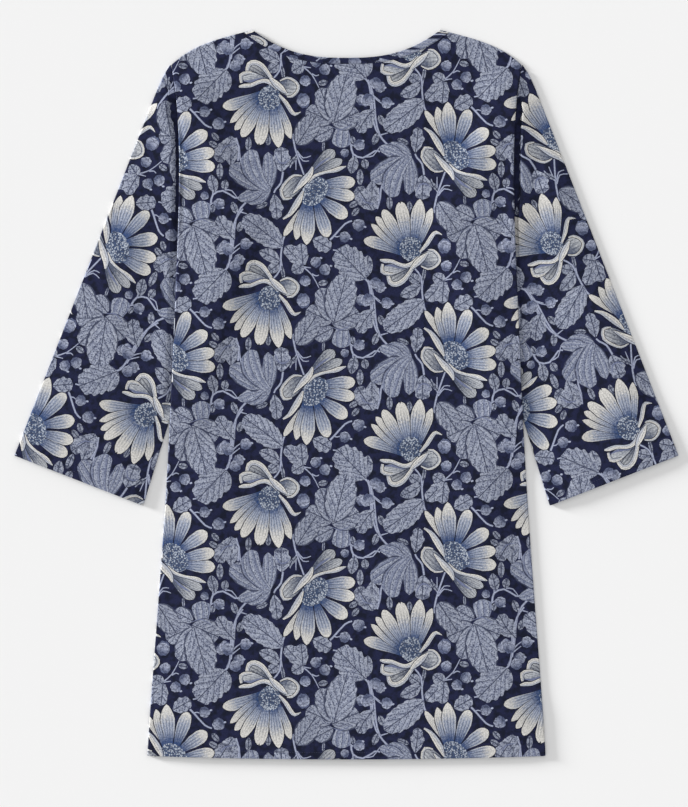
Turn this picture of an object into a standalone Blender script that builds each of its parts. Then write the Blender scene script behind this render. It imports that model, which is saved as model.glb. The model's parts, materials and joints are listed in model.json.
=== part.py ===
"""A long tunic top, laid out flat with its back up, as six sewn pieces of cloth.

Metres, +Z up from the surface that it lies on, +Y towards the neck, +X to the right as the back is seen.
A place on the cloth is (across, depth): across from the centre line, and depth below the neck points.
"""

from collections import namedtuple
from math import cos, pi, sin

import bmesh
import bpy
from mathutils import Vector

# Driving dimensions of the garment.
LENGTH = 0.948
HEM_RISE_AT_SIDES = 0.0045
HEM_WIDTH = 0.010
SHOULDER_HALF_WIDTH = 0.2275
SHOULDER_DROP = 0.0455
SHOULDER_CURVE = 0.40
NECK_HALF_WIDTH = 0.122
NECK_POWER = 2.6
BACK_NECK_DROP = 0.0364
FRONT_NECK_DROP = 0.100
BINDING_WIDTH = 0.008
BINDING_RUN_AT_SHOULDER = 0.0115
WALL = 0.0011
HEM_WALL = 0.0016
BINDING_WALL = 0.0016
BINDING_EDGE_ROUND = 0.0003
SEAM_GAP = 0.0003

# Half widths of the body, from the shoulder tip down the armhole and the side seam.
SideRow = namedtuple("SideRow", "depth half_width")
BODY_SIDE = [
    SideRow(depth=0.0455, half_width=0.2275),
    SideRow(depth=0.0910, half_width=0.2212),
    SideRow(depth=0.1430, half_width=0.2180),
    SideRow(depth=0.1980, half_width=0.2175),
    SideRow(depth=0.2800, half_width=0.2197),
    SideRow(depth=0.3810, half_width=0.2238),
    SideRow(depth=0.4810, half_width=0.2282),
    SideRow(depth=0.5990, half_width=0.2345),
    SideRow(depth=0.7310, half_width=0.2437),
    SideRow(depth=0.8710, half_width=0.2542),
    SideRow(depth=0.9480, half_width=0.2592),
]

# The right sleeve as laid: its outer fold, its cuff, and its underarm hidden beneath the body.
ARMHOLE_GAP = 0.0005
TIP_GAP = 0.0015
TIP_GAP_FADES = 30
SLEEVE_TIP = Vector((SHOULDER_HALF_WIDTH + TIP_GAP, SHOULDER_DROP))
SLEEVE_HEAD = Vector((0.2375, 0.0555))
SLEEVE_STRAIGHT_FROM = Vector((0.2503, 0.0884))
CUFF_OUTER = Vector((0.4316, 0.5532))
CUFF_INNER = Vector((0.2643, 0.6188))
UNDERARM = Vector((0.1500, 0.2470))
TUCK_STARTS = 0.095
TUCK_POWER = 1.5

# How the layers lie on each other. A gap is between two faces, and a loft is how much it opens.
SLEEVE_GAP = 0.0004
SLEEVE_LOFT = 0.0013
SLEEVE_LOFT_MARGIN = 0.012
SLEEVE_EDGE_RAMP = 0.030
CUFF_LOFT = 0.0012
CUFF_LOFT_FROM = 0.80
SLEEVE_TO_BODY = 0.0004
PANEL_GAP = 0.00035
PANEL_LOFT = 0.0014
HEM_LOFT = 0.0012
PANEL_EDGE_RAMP = 0.050
WIDEST_GAP = 0.0036
LIFT = 2 * WALL + SLEEVE_GAP + SLEEVE_TO_BODY
LIFT_MARGIN = 0.020
LIFT_RAMP = 0.040
LIFT_FULL_FROM = 0.077
LIFT_FULL_TO = 0.520
LIFT_LAST_RAMP = 0.070

# Soft folds that stand up in the cloth: from one place to another, with a half width and a height.
Fold = namedtuple("Fold", "start end half_width height")
BACK_FOLDS = [
    Fold(start=(-0.205, 0.130), end=(-0.120, 0.210), half_width=0.022, height=0.0012),
    Fold(start=(0.208, 0.120), end=(0.135, 0.225), half_width=0.024, height=0.0011),
    Fold(start=(-0.165, 0.420), end=(-0.190, 0.900), half_width=0.030, height=0.0012),
    Fold(start=(-0.060, 0.560), end=(-0.078, 0.920), half_width=0.034, height=0.0009),
    Fold(start=(0.045, 0.480), end=(0.060, 0.910), half_width=0.036, height=0.0010),
    Fold(start=(0.160, 0.390), end=(0.192, 0.900), half_width=0.030, height=0.0012),
    Fold(start=(-0.020, 0.130), end=(0.010, 0.330), half_width=0.040, height=0.0008),
]
LEFT_SLEEVE_FOLDS = [
    Fold(start=(0.248, 0.165), end=(0.292, 0.350), half_width=0.020, height=0.0010),
    Fold(start=(0.276, 0.300), end=(0.352, 0.560), half_width=0.022, height=0.0009),
]
RIGHT_SLEEVE_FOLDS = [
    Fold(start=(0.262, 0.150), end=(0.284, 0.330), half_width=0.020, height=0.0010),
    Fold(start=(0.312, 0.330), end=(0.372, 0.540), half_width=0.022, height=0.0009),
]
FOLD_TAPER = 0.3

# The grid of each piece.
NECK_COLUMNS = 8
SHOULDER_COLUMNS = 6
CLOSE_ROWS = 24
WIDE_ROWS = 8
CLOSE_ROWS_SHARE = 0.62
BINDING_ROWS = 2
SLEEVE_RINGS = 16
SLEEVE_HEAD_CROWDING = 1.4
SLEEVE_UPPER_CELLS = 12
SLEEVE_UNDER_CELLS = 8
SLEEVE_EDGE_CELLS = 4

CLOTH_COLOUR = (0.135, 0.165, 0.290, 1.0)
CLOTH_ROUGHNESS = 0.85


def smooth(value):
    """Goes from 0 to 1, level at both ends, as value goes from 0 to 1."""
    share = min(1.0, max(0.0, value))
    return share * share * (3.0 - 2.0 * share)


def side_slope(index):
    before = BODY_SIDE[max(0, index - 1)]
    after = BODY_SIDE[min(len(BODY_SIDE) - 1, index + 1)]
    return (after.half_width - before.half_width) / (after.depth - before.depth)


def body_half_width(depth):
    """The body's half width, on a smooth curve through the side table."""
    depth = min(BODY_SIDE[-1].depth, max(BODY_SIDE[0].depth, depth))
    index = max(i for i, row in enumerate(BODY_SIDE[:-1]) if row.depth <= depth)
    upper, lower = BODY_SIDE[index], BODY_SIDE[index + 1]
    step = lower.depth - upper.depth
    share = (depth - upper.depth) / step
    rise = lower.half_width - upper.half_width
    leaving = side_slope(index) * step
    arriving = side_slope(index + 1) * step
    bend = 3 * rise - 2 * leaving - arriving
    twist = leaving + arriving - 2 * rise
    return upper.half_width + share * (leaving + share * (bend + share * twist))


def shoulder_depth(across):
    """Depth of the shoulder seam, which curves down towards the sleeve."""
    share = (abs(across) - NECK_HALF_WIDTH) / (SHOULDER_HALF_WIDTH - NECK_HALF_WIDTH)
    share = min(1.0, max(0.0, share))
    return SHOULDER_DROP * ((1 - SHOULDER_CURVE) * share + SHOULDER_CURVE * share**4)


SEAM_HALF_WIDTH = NECK_HALF_WIDTH + BINDING_RUN_AT_SHOULDER
SEAM_END_DEPTH = shoulder_depth(SEAM_HALF_WIDTH)


def neckline(share, drop):
    """A point of the garment's neckline. share runs from -1 to 1 across it."""
    return Vector((share * NECK_HALF_WIDTH, drop * (1 - abs(share) ** NECK_POWER)))


def neck_seam(share, drop):
    """A point of the binding's lower edge, where the panel begins."""
    fall = drop + BINDING_WIDTH - SEAM_END_DEPTH
    depth = SEAM_END_DEPTH + fall * (1 - abs(share) ** NECK_POWER)
    return Vector((share * SEAM_HALF_WIDTH, depth))


def panel_top(across, drop):
    """Depth of a panel's upper edge: the neck seam, then the shoulder seam."""
    if abs(across) >= SEAM_HALF_WIDTH:
        return shoulder_depth(across)
    return neck_seam(across / SEAM_HALF_WIDTH, drop).y


def top_corner(share, drop):
    """The point of a panel's upper edge that lies this share of the way out to its side."""
    across = share * SHOULDER_HALF_WIDTH
    for _ in range(12):
        across = share * body_half_width(panel_top(across, drop))
    return Vector((across, panel_top(across, drop)))


def hem_depth(share):
    return LENGTH - HEM_RISE_AT_SIDES * share**2


def armhole_seam(share):
    """The sleeve's sewn end, from the shoulder tip down the armhole, then in beneath the body."""
    depth = SLEEVE_TIP.y + share * (UNDERARM.y - SLEEVE_TIP.y)
    reach = body_half_width(UNDERARM.y) + ARMHOLE_GAP - UNDERARM.x
    tucked = max(0.0, (depth - TUCK_STARTS) / (UNDERARM.y - TUCK_STARTS)) ** TUCK_POWER
    gap = ARMHOLE_GAP + (TIP_GAP - ARMHOLE_GAP) * (1 - share) ** TIP_GAP_FADES
    return Vector((body_half_width(depth) + gap - reach * tucked, depth))


def outer_fold(along):
    """The sleeve's outer fold: a rounded head over the shoulder, then a straight run to the cuff."""
    head = (SLEEVE_HEAD - SLEEVE_TIP).length + (SLEEVE_STRAIGHT_FROM - SLEEVE_HEAD).length
    head_share = head / (head + (CUFF_OUTER - SLEEVE_STRAIGHT_FROM).length)
    if along >= head_share:
        return SLEEVE_STRAIGHT_FROM.lerp(CUFF_OUTER, (along - head_share) / (1 - head_share))
    turn = along / head_share
    first = SLEEVE_TIP.lerp(SLEEVE_HEAD, turn)
    return first.lerp(SLEEVE_HEAD.lerp(SLEEVE_STRAIGHT_FROM, turn), turn)


def sleeve_place(along, share):
    """A point of the right sleeve: along it from armhole to cuff, and share across from its outer fold."""
    straight = armhole_seam(share).lerp(CUFF_OUTER.lerp(CUFF_INNER, share), along)
    bulge = outer_fold(along) - SLEEVE_TIP.lerp(CUFF_OUTER, along)
    return straight + bulge * (1 - share) ** 2


def sleeve_reach(depth):
    """How near the sleeve comes to the centre line beneath the body."""
    if depth <= TUCK_STARTS:
        return body_half_width(depth)
    if depth <= UNDERARM.y:
        return armhole_seam((depth - SLEEVE_TIP.y) / (UNDERARM.y - SLEEVE_TIP.y)).x
    slope = (CUFF_INNER.x - UNDERARM.x) / (CUFF_INNER.y - UNDERARM.y)
    return UNDERARM.x + (depth - UNDERARM.y) * slope


def body_lift(across, depth):
    """How much the sleeve that lies beneath the body's edge holds it up."""
    first = smooth((depth - SHOULDER_DROP) / (LIFT_FULL_FROM - SHOULDER_DROP))
    last = 1 - smooth((depth - LIFT_FULL_TO) / LIFT_LAST_RAMP)
    out = abs(across) - sleeve_reach(depth) + LIFT_MARGIN + LIFT_RAMP
    return LIFT * first * last * smooth(out / LIFT_RAMP)


def binding_lift(across, depth):
    """How much the front binding, thicker than the panel, holds the front up beside it."""
    off = max(0.0, depth - panel_top(across, FRONT_NECK_DROP)) + max(0.0, abs(across) - SEAM_HALF_WIDTH)
    return (BINDING_WALL - WALL) * (1 - smooth(off / PANEL_EDGE_RAMP))


def fold_height(folds, place):
    """The height of the soft folds at a place, each tapered towards its ends."""
    height = 0.0
    for fold in folds:
        start, end = Vector(fold.start), Vector(fold.end)
        run = end - start
        share = (place - start).dot(run) / run.length_squared
        off = (place - start - run * share).length / fold.half_width
        taper = smooth(share / FOLD_TAPER) * smooth((1 - share) / FOLD_TAPER)
        height += fold.height * taper * 0.5 ** (off**2)
    return height


def front_underside(across, depth):
    return body_lift(across, depth) + binding_lift(across, depth)


def panel_gap(across, depth):
    """The space between the front and back panels, least at the seams."""
    from_side = smooth((body_half_width(depth) - abs(across)) / PANEL_EDGE_RAMP)
    from_shoulder = smooth((depth - shoulder_depth(across)) / PANEL_EDGE_RAMP)
    at_hem = smooth((depth - LENGTH + 2 * PANEL_EDGE_RAMP) / PANEL_EDGE_RAMP)
    loft = PANEL_LOFT + fold_height(BACK_FOLDS, Vector((across, depth)))
    gap = PANEL_GAP + HEM_LOFT * at_hem + loft * from_side * from_shoulder
    return min(gap, WIDEST_GAP)


def back_underside(across, depth):
    return front_underside(across, depth) + WALL + panel_gap(across, depth)


def sleeve_height(along, share, folds):
    """The height of the laid sleeve, from the surface to its upper face."""
    place = sleeve_place(along, share)
    width = (sleeve_place(along, 1.0) - sleeve_place(along, 0.0)).length
    from_edge = smooth(min(share, 1 - share) * width / SLEEVE_EDGE_RAMP)
    out = place.x - body_half_width(place.y) - SLEEVE_LOFT_MARGIN
    loft = (SLEEVE_LOFT + fold_height(folds, place)) * smooth(out / PANEL_EDGE_RAMP)
    at_cuff = CUFF_LOFT * smooth((along - CUFF_LOFT_FROM) / (1 - CUFF_LOFT_FROM))
    return 2 * WALL + min(SLEEVE_GAP + at_cuff + loft * from_edge, WIDEST_GAP)


def panel_columns():
    """Shares of the way out to the sides, with a column where the neck and shoulder seams meet."""
    meet = SEAM_HALF_WIDTH / SHOULDER_HALF_WIDTH
    right = [meet * i / NECK_COLUMNS for i in range(1, NECK_COLUMNS)]
    right += [meet + (1 - meet) * i / SHOULDER_COLUMNS for i in range(SHOULDER_COLUMNS + 1)]
    return [-share for share in reversed(right)] + [0.0] + right


def panel_rows():
    """Shares of the way up from the hem's stitch line, closer together where the sleeves lie beneath."""
    wide = [(1 - CLOSE_ROWS_SHARE) * i / WIDE_ROWS for i in range(WIDE_ROWS)]
    close = [1 - CLOSE_ROWS_SHARE * i / CLOSE_ROWS for i in range(CLOSE_ROWS + 1)]
    return wide + close[::-1]


def add_cloth(name, columns, rows, place, faces_up, wall, wall_share=None):
    """A sheet of cloth through place(column, row), its outer face, with its wall laid inwards.

    wall_share(row) thins the wall, and the sheet's edges that meet are sewn shut.
    """
    cloth = bmesh.new()
    bmesh.ops.create_grid(cloth, x_segments=columns, y_segments=rows, size=0.5)
    bmesh.ops.triangulate(cloth, faces=cloth.faces, quad_method="FIXED")
    thinning = cloth.verts.layers.deform.verify()
    for vert in cloth.verts:
        column = round((vert.co.x + 0.5) * columns)
        row = round((vert.co.y + 0.5) * rows)
        vert.co = place(column, row)
        vert[thinning][0] = wall_share(row) if wall_share else 1.0
    bmesh.ops.remove_doubles(cloth, verts=cloth.verts, dist=1e-6)
    cloth.normal_update()
    highest = max(cloth.faces, key=lambda face: face.calc_center_median().z)
    if (highest.normal.z > 0) != faces_up:
        bmesh.ops.reverse_faces(cloth, faces=cloth.faces)
    mesh = bpy.data.meshes.new(name)
    cloth.to_mesh(mesh)
    cloth.free()
    mesh.materials.append(cloth_material(name))
    mesh.shade_smooth()
    piece = bpy.data.objects.new(name, mesh)
    garment.objects.link(piece)
    piece.vertex_groups.new(name="wall")
    solid = piece.modifiers.new("Wall", "SOLIDIFY")
    solid.thickness = wall
    solid.offset = -1
    solid.use_even_offset = True
    solid.vertex_group = "wall"
    return piece


def cloth_material(name):
    material = bpy.data.materials.new(name)
    material.use_nodes = True
    shader = material.node_tree.nodes["Principled BSDF"]
    shader.inputs["Base Color"].default_value = CLOTH_COLOUR
    shader.inputs["Roughness"].default_value = CLOTH_ROUGHNESS
    shader.inputs["Metallic"].default_value = 0.0
    return material


def at(place, height):
    """A place on the cloth as a point in space, with the origin at the middle of the length."""
    return Vector((place.x, LENGTH / 2 - place.y, height))


def add_panel(name, drop, faces_up, outer_height):
    """A body panel, with its hem turned once towards the inside."""
    columns = panel_columns()
    rows = panel_rows()

    def place(column, row):
        share = columns[column]
        hem = hem_depth(share)
        stitch_line = hem - HEM_WIDTH
        top = top_corner(share, drop).y
        if row == 0:
            depth = hem
        elif row == 1:
            depth = stitch_line + SEAM_GAP
        else:
            depth = stitch_line - (stitch_line - top) * rows[row - 2]
        across = share * body_half_width(depth)
        return at(Vector((across, depth)), outer_height(across, depth))

    return add_cloth(
        name,
        columns=len(columns) - 1,
        rows=len(rows) + 1,
        place=place,
        faces_up=faces_up,
        wall=HEM_WALL,
        wall_share=lambda row: 1.0 if row <= 1 else WALL / HEM_WALL,
    )


def add_sleeve(name, side, folds):
    """A sleeve: a tube laid flat, open at the armhole and the cuff. side is 1 on the right, -1 on the left."""
    length = (armhole_seam(0.5) - CUFF_OUTER.lerp(CUFF_INNER, 0.5)).length
    stitch_line = 1 - HEM_WIDTH / length
    upper_from = SLEEVE_EDGE_CELLS
    upper_to = upper_from + SLEEVE_UPPER_CELLS
    under_from = upper_to + SLEEVE_EDGE_CELLS
    ring_cells = under_from + SLEEVE_UNDER_CELLS

    def section(cell, along):
        """Share across and height of a point of a ring, which goes round by way of the outer fold."""
        width = (sleeve_place(along, 1.0) - sleeve_place(along, 0.0)).length
        outer_radius = sleeve_height(along, 0.0, folds) / 2
        inner_radius = sleeve_height(along, 1.0, folds) / 2
        first = outer_radius / width
        last = 1 - inner_radius / width
        if cell < upper_from:
            turn = pi * cell / SLEEVE_EDGE_CELLS
            return first * (1 - sin(turn)), outer_radius * (1 - cos(turn))
        if cell <= upper_to:
            share = first + (last - first) * (cell - upper_from) / SLEEVE_UPPER_CELLS
            return share, sleeve_height(along, share, folds)
        if cell < under_from:
            turn = pi * (cell - upper_to) / SLEEVE_EDGE_CELLS
            return last + (1 - last) * sin(turn), inner_radius * (1 + cos(turn))
        return last - (last - first) * (cell - under_from) / SLEEVE_UNDER_CELLS, 0.0

    def place(cell, ring):
        if ring <= SLEEVE_RINGS:
            along = stitch_line * (ring / SLEEVE_RINGS) ** SLEEVE_HEAD_CROWDING
        elif ring == SLEEVE_RINGS + 1:
            along = stitch_line + SEAM_GAP / length
        else:
            along = 1.0
        share, height = section(cell % ring_cells, along)
        spot = sleeve_place(along, share)
        return at(Vector((side * spot.x, spot.y)), height)

    return add_cloth(
        name,
        columns=ring_cells,
        rows=SLEEVE_RINGS + 2,
        place=place,
        faces_up=True,
        wall=HEM_WALL,
        wall_share=lambda ring: 1.0 if ring > SLEEVE_RINGS else WALL / HEM_WALL,
    )


def add_binding(name, drop, faces_up, outer_height):
    """A narrow strip folded over a neckline, flush with its panel inside and proud of it outside."""
    columns = panel_columns()
    first = len(columns) // 2 - NECK_COLUMNS

    def place(column, row):
        share = top_corner(columns[first + column], drop).x / SEAM_HALF_WIDTH
        edge = neckline(share, drop)
        seam = neck_seam(share, drop)
        short_of_seam = 1 - SEAM_GAP / (seam - edge).length
        spot = edge.lerp(seam, short_of_seam * row / BINDING_ROWS)
        return at(spot, outer_height(spot.x, spot.y))

    binding = add_cloth(
        name,
        columns=2 * NECK_COLUMNS,
        rows=BINDING_ROWS,
        place=place,
        faces_up=faces_up,
        wall=BINDING_WALL,
    )
    rounding = binding.modifiers.new("Rounded folds", "BEVEL")
    rounding.width = BINDING_EDGE_ROUND
    rounding.segments = 1
    rounding.limit_method = "ANGLE"
    return binding


for leftover in list(bpy.data.objects):
    bpy.data.objects.remove(leftover)

garment = bpy.data.collections.new("tunic_top")
bpy.context.scene.collection.children.link(garment)

add_panel("front_panel", FRONT_NECK_DROP, faces_up=False, outer_height=front_underside)
add_binding(
    "front_neck_binding",
    FRONT_NECK_DROP,
    faces_up=False,
    outer_height=lambda across, depth: front_underside(across, depth) + WALL - BINDING_WALL,
)
add_panel(
    "back_panel",
    BACK_NECK_DROP,
    faces_up=True,
    outer_height=lambda across, depth: back_underside(across, depth) + WALL,
)
add_binding(
    "back_neck_binding",
    BACK_NECK_DROP,
    faces_up=True,
    outer_height=lambda across, depth: back_underside(across, depth) + BINDING_WALL,
)
add_sleeve("left_sleeve", -1, LEFT_SLEEVE_FOLDS)
add_sleeve("right_sleeve", 1, RIGHT_SLEEVE_FOLDS)
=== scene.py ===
# %% [markdown]
# A long tunic top lies on a white surface with its back up, as if for a catalogue picture.
# This lesson dresses the six plain solids of its CAD model in real cloth: thin sheets with turned hems,
# a bound neck, stitches, soft creases, and a flower print that runs over every fold.
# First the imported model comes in. It is a fixed frame: nothing in it moves, and each sheet of cloth
# that we make takes the place of one of its solids.

# %% Load the frame
import json
import random
from collections import namedtuple
from math import cos, pi, radians, sin, tau

import bpy
import numpy as np
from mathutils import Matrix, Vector
from mathutils.bvhtree import BVHTree
from mathutils.geometry import delaunay_2d_cdt

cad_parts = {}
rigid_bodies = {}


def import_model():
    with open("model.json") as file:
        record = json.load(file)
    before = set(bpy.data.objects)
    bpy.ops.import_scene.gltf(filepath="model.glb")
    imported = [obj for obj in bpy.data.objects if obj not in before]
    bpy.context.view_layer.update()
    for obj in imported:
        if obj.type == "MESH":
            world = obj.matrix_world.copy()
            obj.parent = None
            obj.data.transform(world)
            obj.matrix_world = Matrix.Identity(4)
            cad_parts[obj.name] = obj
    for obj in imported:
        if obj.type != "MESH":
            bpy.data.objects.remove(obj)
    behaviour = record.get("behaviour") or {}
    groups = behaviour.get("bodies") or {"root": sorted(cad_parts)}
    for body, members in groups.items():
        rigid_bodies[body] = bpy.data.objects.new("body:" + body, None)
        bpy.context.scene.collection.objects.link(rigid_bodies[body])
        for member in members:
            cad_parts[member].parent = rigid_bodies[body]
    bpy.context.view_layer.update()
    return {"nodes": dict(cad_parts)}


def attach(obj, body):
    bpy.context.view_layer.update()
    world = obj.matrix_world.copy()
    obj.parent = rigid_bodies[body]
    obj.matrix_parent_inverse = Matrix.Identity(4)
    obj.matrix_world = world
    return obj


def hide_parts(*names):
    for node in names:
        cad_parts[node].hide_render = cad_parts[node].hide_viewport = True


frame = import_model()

print("the frame's solids:", sorted(frame["nodes"]))

# %% [markdown]
# A sheet of cloth fits its solid only if both follow the same numbers, so the garment's measures come first.
# They are in metres. A place on the garment is (across, depth): across from the centre line, and depth
# below the neck points, the two highest points of the neckline.

# %% The garment's measures
LENGTH = 0.948
HEM_RISE_AT_SIDES = 0.0045
HEM_WIDTH = 0.010
SHOULDER_HALF_WIDTH = 0.2275
SHOULDER_DROP = 0.0455
SHOULDER_CURVE = 0.40
NECK_HALF_WIDTH = 0.122
NECK_POWER = 2.6
BACK_NECK_DROP = 0.0364
FRONT_NECK_DROP = 0.100
BINDING_WIDTH = 0.008
BINDING_RUN_AT_SHOULDER = 0.0115
WALL = 0.0011
BINDING_WALL = 0.0016

SIDE_DEPTHS = np.array([0.0455, 0.091, 0.143, 0.198, 0.280, 0.381, 0.481, 0.599, 0.731, 0.871, 0.948])
SIDE_HALF_WIDTHS = np.array(
    [0.2275, 0.2212, 0.2180, 0.2175, 0.2197, 0.2238, 0.2282, 0.2345, 0.2437, 0.2542, 0.2592]
)

SLEEVE_TIP = np.array([0.2290, 0.0455])
SLEEVE_HEAD = np.array([0.2375, 0.0555])
SLEEVE_STRAIGHT_FROM = np.array([0.2503, 0.0884])
CUFF_OUTER = np.array([0.4316, 0.5532])
CUFF_INNER = np.array([0.2643, 0.6188])
UNDERARM = np.array([0.1500, 0.2470])
TUCK_STARTS = 0.095
TUCK_POWER = 1.5
ARMHOLE_GAP = 0.0002

SLEEVE_GAP = 0.0004
SLEEVE_LOFT = 0.0013
SLEEVE_LOFT_MARGIN = 0.012
SLEEVE_EDGE_RAMP = 0.030
CUFF_LOFT = 0.0012
CUFF_LOFT_RUN = 0.105
SLEEVE_TO_BODY = 0.0004
PANEL_GAP = 0.00035
PANEL_LOFT = 0.0014
HEM_LOFT = 0.0012
PANEL_EDGE_RAMP = 0.050
WIDEST_GAP = 0.0036
LIFT = 2 * WALL + SLEEVE_GAP + SLEEVE_TO_BODY
LIFT_MARGIN = 0.020
LIFT_RAMP = 0.040
LIFT_FULL_FROM = 0.077
LIFT_FULL_TO = 0.520
LIFT_LAST_RAMP = 0.070
print("a sleeve lifts the body's side by", round(LIFT * 1000, 2), "mm")


# %% The garment's outlines
def smooth(value):
    """Goes from 0 to 1, level at both ends, as value goes from 0 to 1."""
    share = np.clip(value, 0.0, 1.0)
    return share * share * (3.0 - 2.0 * share)


def side_slopes():
    last = len(SIDE_DEPTHS) - 1
    before = np.maximum(np.arange(last + 1) - 1, 0)
    after = np.minimum(np.arange(last + 1) + 1, last)
    rise = SIDE_HALF_WIDTHS[after] - SIDE_HALF_WIDTHS[before]
    return rise / (SIDE_DEPTHS[after] - SIDE_DEPTHS[before])


SIDE_SLOPES = side_slopes()


def body_half_width(depth):
    """The body's half width at a depth, on a smooth curve through the side table."""
    depth = np.clip(depth, SIDE_DEPTHS[0], SIDE_DEPTHS[-1])
    row = np.clip(np.searchsorted(SIDE_DEPTHS, depth, side="right") - 1, 0, len(SIDE_DEPTHS) - 2)
    step = SIDE_DEPTHS[row + 1] - SIDE_DEPTHS[row]
    share = (depth - SIDE_DEPTHS[row]) / step
    rise = SIDE_HALF_WIDTHS[row + 1] - SIDE_HALF_WIDTHS[row]
    leaving = SIDE_SLOPES[row] * step
    arriving = SIDE_SLOPES[row + 1] * step
    bend = 3 * rise - 2 * leaving - arriving
    twist = leaving + arriving - 2 * rise
    return SIDE_HALF_WIDTHS[row] + share * (leaving + share * (bend + share * twist))


def shoulder_depth(across):
    """Depth of the shoulder seam, which curves down towards the sleeve."""
    run = SHOULDER_HALF_WIDTH - NECK_HALF_WIDTH
    share = np.clip((np.abs(across) - NECK_HALF_WIDTH) / run, 0.0, 1.0)
    return SHOULDER_DROP * ((1 - SHOULDER_CURVE) * share + SHOULDER_CURVE * share**4)


SEAM_HALF_WIDTH = NECK_HALF_WIDTH + BINDING_RUN_AT_SHOULDER
SEAM_END_DEPTH = float(shoulder_depth(SEAM_HALF_WIDTH))


def neckline(share, drop):
    """A point of the neckline's edge. share runs from -1 to 1 across it."""
    return np.stack([share * NECK_HALF_WIDTH, drop * (1 - np.abs(share) ** NECK_POWER)], axis=-1)


def neck_seam(share, drop):
    """A point of the binding's lower edge."""
    fall = drop + BINDING_WIDTH - SEAM_END_DEPTH
    depth = SEAM_END_DEPTH + fall * (1 - np.abs(share) ** NECK_POWER)
    return np.stack([share * SEAM_HALF_WIDTH, depth], axis=-1)


def hem_depth(across):
    return LENGTH - HEM_RISE_AT_SIDES * (across / SIDE_HALF_WIDTHS[-1]) ** 2


print("body:", LENGTH, "long and", 2 * SIDE_HALF_WIDTHS[-1], "wide at the hem")

# %% [markdown]
# Cloth that is laid flat isn't flat. It lies on other layers, and it keeps soft folds from being handled.
# The heights below are those of the solids: the sleeves' layers lift the body's sides by three millimetres,
# and a few broad folds stand up a millimetre more. On top of them come the small creases of the real cloth,
# too fine for the solids, which are drawn here as soft ridges and troughs, each one from end to end.

# %% Broad folds
Fold = namedtuple("Fold", "start end half_width height")
BACK_FOLDS = [
    Fold((-0.205, 0.130), (-0.120, 0.210), 0.022, 0.0012),
    Fold((0.208, 0.120), (0.135, 0.225), 0.024, 0.0011),
    Fold((-0.165, 0.420), (-0.190, 0.900), 0.030, 0.0012),
    Fold((-0.060, 0.560), (-0.078, 0.920), 0.034, 0.0009),
    Fold((0.045, 0.480), (0.060, 0.910), 0.036, 0.0010),
    Fold((0.160, 0.390), (0.192, 0.900), 0.030, 0.0012),
    Fold((-0.020, 0.130), (0.010, 0.330), 0.040, 0.0008),
]
LEFT_SLEEVE_FOLDS = [
    Fold((0.248, 0.165), (0.292, 0.350), 0.020, 0.0010),
    Fold((0.276, 0.300), (0.352, 0.560), 0.022, 0.0009),
]
RIGHT_SLEEVE_FOLDS = [
    Fold((0.262, 0.150), (0.284, 0.330), 0.020, 0.0010),
    Fold((0.312, 0.330), (0.372, 0.540), 0.022, 0.0009),
]
FOLD_TAPER = 0.3


def fold_height(folds, across, depth):
    """The height of the soft folds at a place, each tapered towards its ends."""
    height = np.zeros_like(across)
    for fold in folds:
        start = np.array(fold.start)
        run = np.array(fold.end) - start
        share = ((across - start[0]) * run[0] + (depth - start[1]) * run[1]) / run.dot(run)
        off_across = across - start[0] - share * run[0]
        off_depth = depth - start[1] - share * run[1]
        off = np.hypot(off_across, off_depth) / fold.half_width
        taper = smooth(share / FOLD_TAPER) * smooth((1 - share) / FOLD_TAPER)
        height = height + fold.height * taper * 0.5 ** (off**2)
    return height


sleeve_folds = LEFT_SLEEVE_FOLDS + RIGHT_SLEEVE_FOLDS
print("broad folds:", len(BACK_FOLDS), "on the back and", len(sleeve_folds), "on the sleeves")

# %% Small creases
# A height less than 0 is a trough. The first four lie beside the sleeves, and the back's mesh
# gets lines along them.
CREASES_WITH_LINES = 4
BACK_CREASES = [
    Fold((-0.2245, 0.078), (-0.2105, 0.160), 0.0030, -0.0012),
    Fold((-0.2120, 0.120), (-0.2125, 0.290), 0.0030, -0.0009),
    Fold((-0.200, 0.110), (-0.160, 0.215), 0.0060, 0.0005),
    Fold((0.2140, 0.065), (0.2125, 0.330), 0.0075, 0.0015),
    Fold((0.205, 0.105), (0.182, 0.240), 0.0060, 0.0006),
    Fold((0.213, 0.120), (0.205, 0.300), 0.0040, -0.0005),
    Fold((-0.095, 0.055), (-0.060, 0.170), 0.0070, 0.0004),
    Fold((0.100, 0.055), (0.070, 0.150), 0.0070, 0.0004),
    Fold((-0.190, 0.330), (-0.150, 0.470), 0.0080, 0.0004),
    Fold((0.190, 0.340), (0.140, 0.450), 0.0080, 0.0004),
    Fold((-0.130, 0.610), (-0.150, 0.830), 0.0090, 0.0005),
    Fold((0.120, 0.580), (0.135, 0.860), 0.0090, 0.0005),
    Fold((0.010, 0.700), (0.015, 0.930), 0.0080, 0.0004),
]
SLEEVE_CREASES = [
    Fold((0.245, 0.120), (0.300, 0.240), 0.0060, 0.0005),
    Fold((0.236, 0.210), (0.320, 0.330), 0.0070, 0.0005),
    Fold((0.250, 0.330), (0.300, 0.420), 0.0060, -0.0004),
    Fold((0.290, 0.430), (0.310, 0.590), 0.0070, 0.0004),
    Fold((0.370, 0.440), (0.395, 0.560), 0.0060, 0.0004),
]
print("small creases:", len(BACK_CREASES), "on the back and", len(SLEEVE_CREASES), "on a sleeve")


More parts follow.
